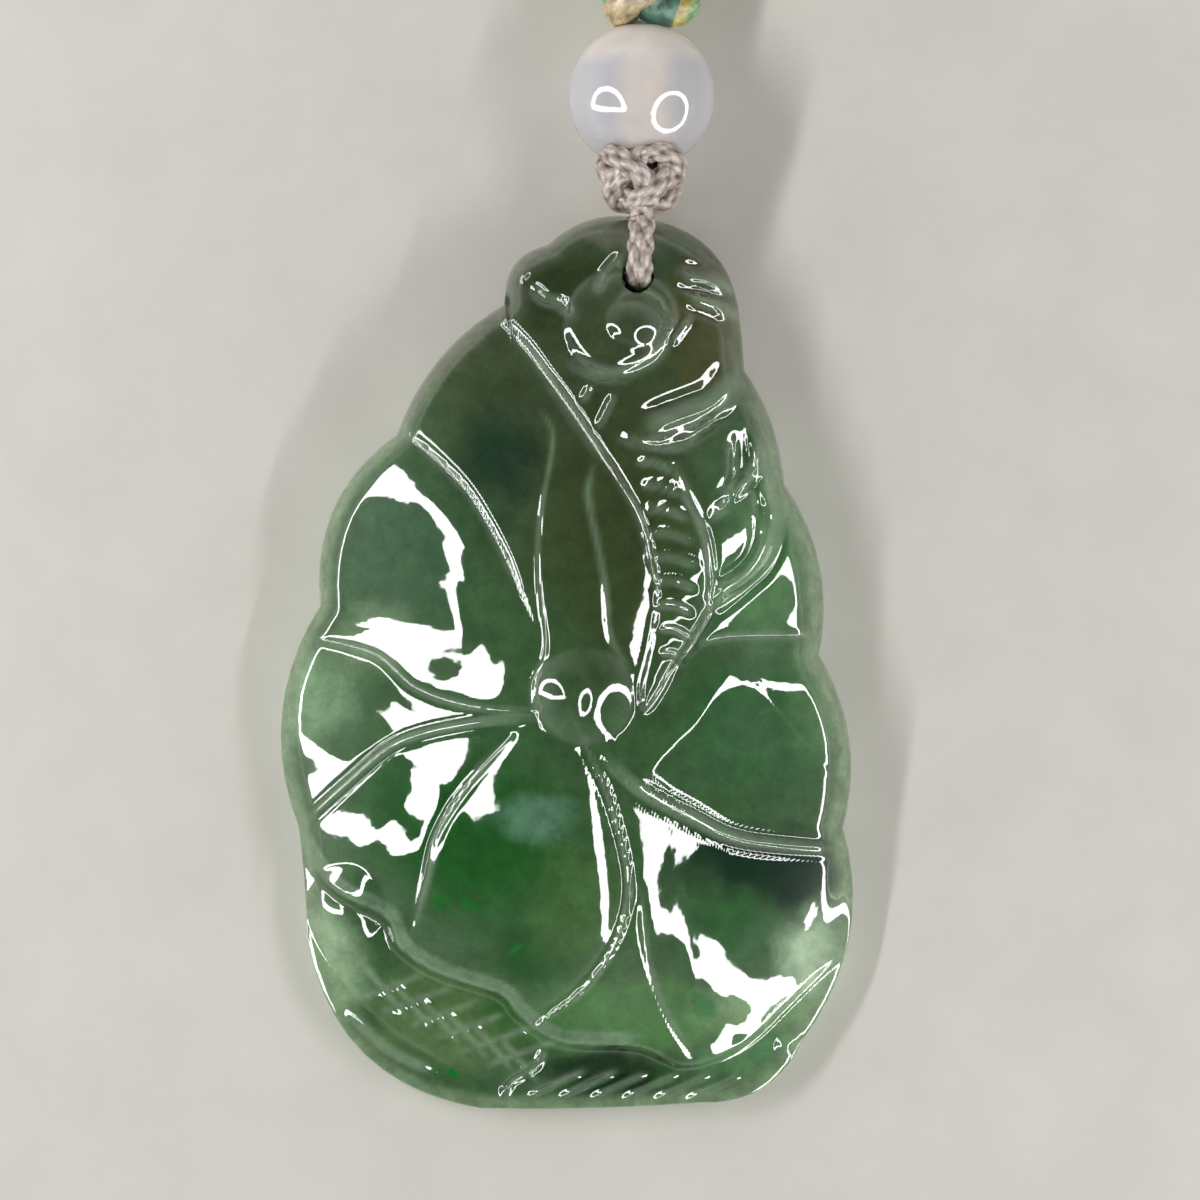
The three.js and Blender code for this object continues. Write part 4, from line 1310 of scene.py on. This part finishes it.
@dataclass
class BraidedTube:
    """A round braided cord along a path."""

    path: np.ndarray
    diameter: float
    braid: Braid
    sides: int = 40
    step: float = 0.06
    closed: bool = False
    outward: np.ndarray | None = None
    length: float = field(init=False, default=0.0)

    def resampled(self) -> tuple[np.ndarray, np.ndarray | None, np.ndarray]:
        """The path at even steps, with its outward directions and its distances along.

        Returns:
            Rows of x, y and z, the outward directions if there are any, and the distances.
        """
        path = np.vstack([self.path, self.path[:1]]) if self.closed else self.path
        gone = np.concatenate([[0], np.cumsum(np.linalg.norm(np.diff(path, axis=0), axis=1))])
        count = max(int(gone[-1] / self.step), 8)
        at = np.linspace(0, gone[-1], count + 1)
        if self.closed:
            at = at[:-1]
        centre = np.column_stack([np.interp(at, gone, path[:, k]) for k in range(3)])
        out = None
        if self.outward is not None:
            outs = np.vstack([self.outward, self.outward[:1]]) if self.closed else self.outward
            out = np.column_stack([np.interp(at, gone, outs[:, k]) for k in range(3)])
        self.length = gone[-1]
        return centre, out, at

    def frames(self, centre: np.ndarray, out: np.ndarray | None) -> tuple[np.ndarray, np.ndarray]:
        """Two directions across the cord at each step, the first of them outward.

        Args:
            centre: The path at even steps.
            out: The outward direction at each step, or None.

        Returns:
            The two directions, a row for each step.
        """
        if self.closed:
            tangent = np.roll(centre, -1, 0) - np.roll(centre, 1, 0)
        else:
            tangent = np.gradient(centre, axis=0)
        tangent /= np.linalg.norm(tangent, axis=1, keepdims=True)
        if out is None:
            out = np.empty_like(centre)
            guess = np.array([0.0, 0.0, 1.0]) if abs(tangent[0, 2]) < 0.9 else np.array([0.0, 1.0, 0.0])
            for i, way in enumerate(tangent):
                guess = guess - way * (guess @ way)
                guess /= np.linalg.norm(guess)
                out[i] = guess
        else:
            out = out - tangent * np.einsum("ij,ij->i", out, tangent)[:, None]
            out /= np.linalg.norm(out, axis=1, keepdims=True)
        return out, np.cross(tangent, out)

    def radius_at(self, height: np.ndarray) -> np.ndarray:
        """Radius at each place of the surface, smaller in the gaps and at an open end.

        Args:
            height: Height of the braid at each place, from 0 to 1.

        Returns:
            The radius in millimetres.
        """
        radius = self.diameter / 2 - self.braid.relief * (1 - height)
        if self.closed:
            return radius
        rows = np.arange(len(height))
        taper = np.minimum(rows, rows[::-1]) / 3
        return radius * np.minimum(1, 0.4 + 0.6 * taper)[:, None]

    def places(self, rows: int) -> tuple[np.ndarray, np.ndarray]:
        """Row and side of every face."""
        return np.meshgrid(np.arange(rows if self.closed else rows - 1), np.arange(self.sides), indexing="ij")

    def faces(self, rows: int) -> list[list[int]]:
        """The corners of every face, and of the two ends if the cord has ends.

        Args:
            rows: How many steps the path has.

        Returns:
            A list of corners for each face.
        """
        i, j = self.places(rows)
        next_i, next_j = (i + 1) % rows, (j + 1) % self.sides
        corners = ((i, next_j), (next_i, next_j), (next_i, j), (i, j))
        faces = np.stack([row * self.sides + side for row, side in corners], -1).reshape(-1, 4).tolist()
        if not self.closed:
            last = (rows - 1) * self.sides
            faces += [list(range(self.sides)), list(range(last, last + self.sides))[::-1]]
        return faces

    def map_threads(self, mesh: bpy.types.Mesh, at: np.ndarray) -> None:
        """Gives the mesh a UV map: the share of a turn, and millimetres along.

        Args:
            mesh: The cord's mesh.
            at: The distance along at each step.
        """
        i, j = self.places(len(at))
        far = np.append(at, self.length)
        corner_u = np.stack([j + 1, j + 1, j, j], -1) / self.sides
        corner_v = np.stack([far[i], far[i + 1], far[i + 1], far[i]], -1)
        flat = np.stack([corner_u, corner_v], -1).reshape(-1)
        values = np.zeros(len(mesh.loops) * 2)
        values[: len(flat)] = flat
        mesh.uv_layers.new(name="UVMap").data.foreach_set("uv", values)

    def build(self, name: str) -> bpy.types.Object:
        """Makes the mesh, with a UV map in turns and millimetres along.

        Args:
            name: The piece's name.

        Returns:
            The piece, without its material.
        """
        centre, out, at = self.resampled()
        out, across = self.frames(centre, out)
        around, along = np.meshgrid(np.arange(self.sides) / self.sides, at)
        height, ply = self.braid.surface(around, along)
        radius = self.radius_at(height)[..., None]
        angle = 2 * math.pi * around[..., None]
        lift, wide = radius * np.cos(angle) * self.braid.flat, radius * np.sin(angle)
        points = centre[:, None] + lift * out[:, None] + wide * across[:, None]
        mesh = bpy.data.meshes.new(name)
        mesh.from_pydata((points.reshape(-1, 3) * MM).tolist(), [], self.faces(len(centre)))
        piece = bpy.data.objects.new(name, mesh)
        bpy.context.scene.collection.objects.link(piece)
        self.map_threads(mesh, at)
        store_values(piece, "strand", height.ravel())
        store_values(piece, "ply", ply.ravel())
        face_outward(piece)
        smooth(piece)
        return piece


def spline(points: list[Point3], steps: int = 24) -> np.ndarray:
    """A smooth space curve through a few points.

    Args:
        points: The points.
        steps: How many rows there are from one point to the next.

    Returns:
        Rows of x, y and z.
    """
    flat = [
        smooth_line([(p[0], p[1]) for p in points], steps),
        smooth_line([(p[2], 0.0) for p in points], steps),
    ]
    return np.column_stack([flat[0], flat[1][:, 0]])


@dataclass
class HangingLoop:
    """The thin braided cord that goes over the stone's top, through its hole and back beneath it."""

    relief: Relief
    finish: CordFinish
    diameter: float = 1.5
    braid: Braid = Braid(4, 0.64, 0.27)
    hole_x: float = 3.85
    knot_x: float = 4.1
    knot_end: float = 24.4

    def over(self, y: float) -> float:
        """Height of the cord's middle line where it lies on the stone."""
        front = float(self.relief.height(np.array([[self.hole_x, y]]))[0])
        return front + self.diameter / 2 + 0.04

    def route(self) -> list[Point3]:
        """The cord's route from the knot over the stone, through it and back to the knot.

        Returns:
            Places of its middle line in millimetres.
        """
        low = self.diameter / 2 + 0.02
        return [
            (self.knot_x, self.knot_end + 0.6, 6.3),
            (self.knot_x, self.knot_end - 0.25, max(6.2, self.over(24.1))),
            (self.knot_x, 23.5, self.over(23.5)),
            (4.05, 22.7, self.over(22.7)),
            (4.0, 21.8, self.over(21.8) - 0.1),
            (self.hole_x + 0.14, 21.0, self.over(21.3) - 1.1),
            (self.hole_x + 0.04, 20.93, 3.6),
            (self.hole_x, 21.0, 1.9),
            (3.95, 21.9, low + 0.15),
            (4.05, 22.9, low),
            (self.knot_x, 24.1, low + 0.4),
            (self.knot_x, self.knot_end + 0.5, 1.7),
            (self.knot_x, self.knot_end + 1.1, 2.9),
        ]

    def build(self) -> bpy.types.Object:
        """Builds the loop and dresses it.

        Returns:
            The finished loop.
        """
        tube = BraidedTube(spline(self.route()), self.diameter, self.braid, step=0.05)
        loop = tube.build("hanging_cord")
        loop.data.materials.append(self.finish.make())
        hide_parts("hanging_loop")
        return loop


@dataclass
class ButtonKnot:
    """A round knot: one strand woven over and under itself round a ball."""

    name: str
    node: str
    slot: str
    centre: Point3
    radii: Point3
    cord: float
    finish: CordFinish
    leads: int = 3
    bights: int = 4
    braid: Braid = Braid(4, 0.6, 0.12, 0.85)
    tilt: float = 0.0
    flare: float = 0.0
    threads: tuple[int, ...] = (0,)
    bands: tuple[Point2, ...] = ()
    band_slant: float = 0.35
    core_depth: float = 0.5
    weave: float = 0.42
    inset: float = 0.1
    seat_centre: Point3 = (4.1, 30.85, 4.02)
    seat_radius: float = 4.04

    def strand(self, number: int) -> tuple[np.ndarray, np.ndarray]:
        """The closed line that one strand follows, and the outward direction along it.

        Args:
            number: Which of the strands.

        Returns:
            Rows of places in millimetres, and rows of directions.
        """
        rounds = self.leads // math.gcd(self.leads, self.bights)
        turn = np.linspace(0, 2 * math.pi * rounds, 400 * rounds, endpoint=False)
        phase = (self.bights * turn + 2 * math.pi * number) / self.leads
        rx, ry, rz = self.radii
        half = self.cord / 2
        y = (ry - half) * np.sin(phase)
        belt = np.sqrt(1 - (y / (ry + 0.25 * half)) ** 2) * (1 + self.flare * y / ry)
        weave = self.weave * half * np.sin(2 * phase) - self.inset
        spin = turn + math.radians(self.tilt)
        x = ((rx - half) * belt + weave) * np.cos(spin)
        z = ((rz - half) * belt + weave) * np.sin(spin)
        line = np.column_stack([x, y, z])
        out = np.column_stack([x / rx**2, 0.75 * y / ry**2, z / rz**2])
        out /= np.linalg.norm(out, axis=1, keepdims=True)
        return line + np.array(self.centre), out

    def clear_of_bead(self, knot: bpy.types.Object) -> None:
        """Presses the strands flat where they meet the bead.

        Args:
            knot: The knot, changed in place.
        """
        points = read_points(knot) / MM
        seat = np.array(self.seat_centre)
        away = points - seat
        reach = np.linalg.norm(away, axis=1)
        inside = reach < self.seat_radius
        points[inside] = seat + away[inside] / reach[inside, None] * self.seat_radius
        write_points(knot, points * MM)

    def core(self) -> bpy.types.Object:
        """The tucked cord inside the knot, seen only in its gaps.

        Returns:
            A ball inside the strands, which the cord finish paints near black as shade.
        """
        deselect_all()
        place = [v * MM for v in self.centre]
        bpy.ops.mesh.primitive_uv_sphere_add(segments=32, ring_count=16, radius=MM, location=place)
        core = bpy.context.object
        core.scale = [radius - self.core_depth * self.cord for radius in self.radii]
        settle(core, self.name + "_core")
        # A strand height of -1 makes the cord finish paint the core near black as shade
        for name, value in (("strand", -1.0), ("ply", 0.0)):
            store_values(core, name, np.full(len(core.data.vertices), value))
        return core

    def build(self) -> bpy.types.Object:
        """Builds the knot and dresses it.

        Returns:
            The finished knot.
        """
        strands = []
        for number in range(math.gcd(self.leads, self.bights)):
            line, out = self.strand(number)
            tube = BraidedTube(line, self.cord, self.braid, sides=36, step=0.07, closed=True, outward=out)
            strands.append(tube.build(f"{self.name}_{number}"))
            places = read_points(strands[-1]) / MM
            thread = np.full(len(places), float(self.threads[number % len(self.threads)]))
            slanted = places[:, 0] - self.band_slant * (places[:, 1] - self.centre[1])
            for start, other_thread in self.bands:
                thread[slanted > start] = other_thread
            store_values(strands[-1], "ply", thread)
        knot = strands[0]
        knot.name = self.name
        core = self.core()
        make_active(knot)
        for other in (*strands[1:], core):
            other.select_set(True)
        bpy.ops.object.join()
        self.clear_of_bead(knot)
        smooth(knot)
        knot.data.materials.clear()
        knot.data.materials.append(self.finish.make())
        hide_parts(self.node)
        return knot


@dataclass
class NecklaceCord:
    """The long braided cord: from the upper knot, wound flat in two layers, and back to the knot."""

    finish: CordFinish
    diameter: float = 1.8
    middle: Point2 = (4.4, 59.9)
    outside: float = 14.35
    inside: float = 6.45
    whole_turns: int = 9
    layer_turns: float = 4.2
    climb_turns: float = 0.25
    length: float = 600.0
    steps_per_turn: int = 72
    braid: Braid = Braid(4, 0.95, 0.16)
    left_end: tuple[Point3, ...] = (
        (-0.95, 40.15, 3.2), (-0.97, 40.9, 2.9), (-1.15, 41.7, 2.2), (-1.55, 42.4, 1.5), (-2.1, 42.95, 1.1),
        (-2.85, 43.58, 0.95),
    )
    right_end: tuple[Point3, ...] = (
        (0.95, 40.15, 3.2), (0.97, 40.9, 2.9), (1.15, 41.7, 2.25), (1.55, 42.4, 1.65), (2.1, 42.95, 1.4),
        (2.85, 43.58, 1.45),
    )

    def route(self) -> np.ndarray:
        """The whole route in millimetres, from the knot's left to its right.

        Returns:
            Rows of x, y and z.
        """
        mx, my = self.middle
        left = spline([(mx + x, y, z) for x, y, z in self.left_end], 12)
        right = spline([(mx + x, y, z) for x, y, z in self.right_end], 12)
        start = self.polar(left[-1])
        end = self.polar(right[-1])
        turns = self.whole_turns + (start[0] - end[0]) / (2 * math.pi)
        join = (turns - 2 * self.layer_turns - self.climb_turns) / 2
        stops = np.cumsum([0, join, self.layer_turns, self.climb_turns, self.layer_turns, join])
        bottom, top = left[-1][2], left[-1][2] + self.diameter
        radii = [start[1], self.outside, self.inside, self.inside, self.outside, end[1]]
        heights = [bottom, bottom, bottom, top, top, right[-1][2]]
        count = int(turns * self.steps_per_turn)
        at = np.linspace(0, turns, count + 1)[1:-1]
        radius = self.eased(at, stops, radii, (0, 4))
        height = self.eased(at, stops, heights, (2, 4))
        angle = start[0] - 2 * math.pi * at
        coil = np.column_stack([mx + radius * np.cos(angle), my + radius * np.sin(angle), height])
        return np.vstack([left, coil, right[::-1]])

    def polar(self, point: np.ndarray) -> tuple[float, float]:
        """Angle and distance of a point from the coil's middle."""
        dx, dy = point[0] - self.middle[0], point[1] - self.middle[1]
        return math.atan2(dy, dx), math.hypot(dx, dy)

    @staticmethod
    def eased(at: np.ndarray, stops: np.ndarray, values: list[float], soft: tuple[int, ...]) -> np.ndarray:
        """Values between stops, straight except in the stretches that ease in and out.

        Args:
            at: Where the values are wanted.
            stops: Where they are given.
            values: The given values.
            soft: Numbers of the stretches that ease in and out.

        Returns:
            A value for each place.
        """
        made = np.interp(at, stops, values)
        for k in soft:
            inside = (at >= stops[k]) & (at <= stops[k + 1])
            share = smooth_step(stops[k], stops[k + 1], at[inside])
            made[inside] = values[k] + (values[k + 1] - values[k]) * share
        return made

    def build(self) -> bpy.types.Object:
        """Returns:
            The finished cord.
        """
        path = self.route()
        tube = BraidedTube(path, self.diameter, self.braid, sides=18, step=0.16)
        cord = tube.build("necklace_cord")
        log.info("necklace cord is %.1f mm long", tube.length)
        cord.data.materials.append(self.finish.make())
        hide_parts("necklace_leg_left", "necklace_leg_right", "necklace_coil")
        return cord


# The studio


@dataclass(frozen=True)
class RingLamp:
    """A ring of light: the way to it from a place in millimetres, and how far off it is in metres."""

    way: Point3
    seen_from: Point3
    distance: float
    half: bool = False
    chord: float = 0.07
    turn: float = 0.0


@dataclass(frozen=True)
class SoftLight:
    """A large disc of soft light: its name, its place and size in metres, and its power."""

    name: str
    place: Point3
    size: float = 0.5
    energy: float = 20.0


RIGHT_LAMP = RingLamp((0.73, -0.36, 0.58), (8.0, -5.0, 6.0), 0.35)
LEFT_LAMP = RingLamp((-0.81, -0.18, 0.55), (-8.0, 0.0, 6.0), 0.2, half=True, turn=-17.0)
SOFT_LIGHTS = [SoftLight("soft_right", (0.45, -0.15, 0.5)), SoftLight("soft_left", (-0.45, 0.1, 0.5))]


@dataclass
class Studio:
    """A pale floor, two round lights that the polish mirrors, soft light all over and the camera."""

    aim: Point2 = (1.85, 3.48)
    seen_width: float = 65.28
    rim_height: float = 3.0
    camera_height: float = 600.0
    ring_angle: float = 29.0
    tube_angle: float = 4.0
    strength: float = 16.0
    sensor: float = 36.0
    floor_tints: tuple[Point3, Point3] = ((223, 220, 212), (230, 227, 219))
    room_heights: Point2 = (0.15, 0.85)
    room_strengths: Point2 = (0.9, 0.06)

    def camera(self) -> None:
        """A camera straight above, as the photograph's."""
        data = bpy.data.cameras.new("camera")
        data.sensor_width = self.sensor
        data.lens = self.sensor * (self.camera_height - self.rim_height) / self.seen_width
        data.clip_start = 0.01
        data.clip_end = 20.0
        camera = bpy.data.objects.new("camera", data)
        camera.location = (self.aim[0] * MM, self.aim[1] * MM, self.camera_height * MM)
        bpy.context.scene.collection.objects.link(camera)
        bpy.context.scene.camera = camera

    def floor(self) -> None:
        """A plain pale floor."""
        deselect_all()
        bpy.ops.mesh.primitive_plane_add(size=4.0, location=(0, 0, -0.02 * MM))
        floor = bpy.context.object
        floor.name = "floor"
        tree = NodeTree("pale_floor")
        place = tree.place(0.5)
        tone = tree.spread(tree.noise(place, 0.3, 4.0, 0.6), 0.3, 0.7)
        tints = [colour(*tint) for tint in self.floor_tints]
        tree.feed(tree.shader.inputs["Base Color"], tree.mix(tone, *tints))
        tree.set_shader({"Roughness": 0.9, "Specular IOR Level": 0.1})
        floor.data.materials.append(tree.material)

    def glow(self, name: str, strength: float) -> bpy.types.Material:
        """A plain white light as a material.

        Args:
            name: The material's name.
            strength: How bright it is.

        Returns:
            The material.
        """
        tree = NodeTree(name)
        tree.set_shader({
            "Base Color": (0, 0, 0, 1),
            "Emission Color": (1, 1, 1, 1),
            "Emission Strength": strength,
        })
        return tree.material

    def mirrored_light(self, name: str, lamp: RingLamp) -> None:
        """A round tube of light that only polish shows, closed by a straight tube if it is half a ring.

        Args:
            name: Its name.
            lamp: Where it is and how it is turned.
        """
        direction = np.array(lamp.way) / np.linalg.norm(lamp.way)
        radius = lamp.distance * math.tan(math.radians(self.ring_angle))
        tube = lamp.distance * math.tan(math.radians(self.tube_angle))
        deselect_all()
        bpy.ops.mesh.primitive_torus_add(
            major_radius=radius, minor_radius=tube, major_segments=96, minor_segments=12
        )
        ring = bpy.context.object
        ring.name = name
        side = np.cross((0.0, 0.0, 1.0), direction)
        side *= np.sign(side[1]) / np.linalg.norm(side)
        across = np.cross(side, direction)
        points = read_points(ring)
        if lamp.half:
            reach = np.hypot(points[:, 0], points[:, 1])
            low = points[:, 1] < 0
            points[low, 0] *= radius / reach[low]
            points[low, 1] = radius - reach[low]
            points[:, 1] -= lamp.chord * radius
        turn = math.radians(lamp.turn)
        x, y = points[:, 0].copy(), points[:, 1].copy()
        points[:, 0] = x * math.cos(turn) - y * math.sin(turn)
        points[:, 1] = x * math.sin(turn) + y * math.cos(turn)
        frame = np.column_stack([across, side, direction])
        write_points(ring, points @ frame.T + np.array(lamp.seen_from) * MM + direction * lamp.distance)
        ring.data.materials.append(self.glow(name, self.strength))
        smooth(ring)
        for kind in ("camera", "diffuse", "transmission", "volume_scatter", "shadow"):
            setattr(ring, "visible_" + kind, False)

    def soft_light(self, light: SoftLight) -> None:
        """Hangs up a soft light that the polish doesn't mirror, aimed at the middle of the floor.

        Args:
            light: The light.
        """
        data = bpy.data.lights.new(light.name, "AREA")
        data.shape = "DISK"
        data.size = light.size
        data.energy = light.energy
        lamp = bpy.data.objects.new(light.name, data)
        lamp.location = light.place
        x, y, z = light.place
        lamp.rotation_euler = (math.atan2(math.hypot(x, y), z), 0, math.atan2(-x, y))
        lamp.visible_glossy = False
        bpy.context.scene.collection.objects.link(lamp)

    def surroundings(self) -> None:
        """A pale room, darker straight above where the camera is."""
        world = bpy.data.worlds.new("room")
        bpy.context.scene.world = world
        world.use_nodes = True
        nodes, links = world.node_tree.nodes, world.node_tree.links
        where = nodes.new("ShaderNodeTexCoord")
        parts = nodes.new("ShaderNodeSeparateXYZ")
        ramp = nodes.new("ShaderNodeMapRange")
        links.new(where.outputs["Generated"], parts.inputs[0])
        links.new(parts.outputs[2], ramp.inputs["Value"])
        values = (*self.room_heights, *self.room_strengths)
        for name, value in zip(("From Min", "From Max", "To Min", "To Max"), values):
            ramp.inputs[name].default_value = value
        links.new(ramp.outputs[0], nodes["Background"].inputs["Strength"])
        nodes["Background"].inputs["Color"].default_value = (1.0, 0.99, 0.98, 1)

    def build(self) -> None:
        """Sets up the camera, the floor and the lights."""
        self.camera()
        self.floor()
        self.surroundings()
        self.mirrored_light("right_ring_light", RIGHT_LAMP)
        self.mirrored_light("left_ring_light", LEFT_LAMP)
        for light in SOFT_LIGHTS:
            self.soft_light(light)
        bpy.context.scene.view_settings.view_transform = "Standard"


def main() -> None:
    """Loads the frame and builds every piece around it."""
    logging.basicConfig(level=logging.INFO, format="%(message)s")
    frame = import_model()
    Studio().build()
    relief = Relief()
    taupe = CordFinish("taupe_cord", CordColour.TAUPE, CordColour.SILVER)
    mixed = CordFinish("mixed_cord", CordColour.TEAL, CordColour.MINT, gaps=0.5, zones=True)
    pieces = [
        NecklaceCord(mixed).build(),
        CarvedStone(relief).build(),
        Bead().build(),
        HangingLoop(relief, taupe).build(),
        ButtonKnot(
            "button_knot", "lower_knot", "taupe_cord", (4.1, 26.4, 5.2), (2.5, 2.08, 2.4), 1.42, taupe,
            braid=Braid(4, 0.6, 0.26, 0.9), flare=0.36, core_depth=0.65,
        ).build(),
        ButtonKnot(
            "top_knot", "upper_knot", "mixed_cord", (4.4, 37.3, 3.2), (3.0, 2.9, 3.0), 1.9, mixed,
            bights=3, threads=(0, 1, 3), bands=((6.7, 2.0), (7.3, 3.0)), tilt=-105.0,
        ).build(),
    ]
    for piece in pieces:
        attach(piece, "root")
        log.info("%s has %d faces", piece.name, len(piece.data.polygons))
    inner = frame["nodes"]["cord_through_bead"]
    inner.data.materials.clear()
    inner.data.materials.append(taupe.make())
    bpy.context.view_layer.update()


if __name__ == "__main__":
    main()
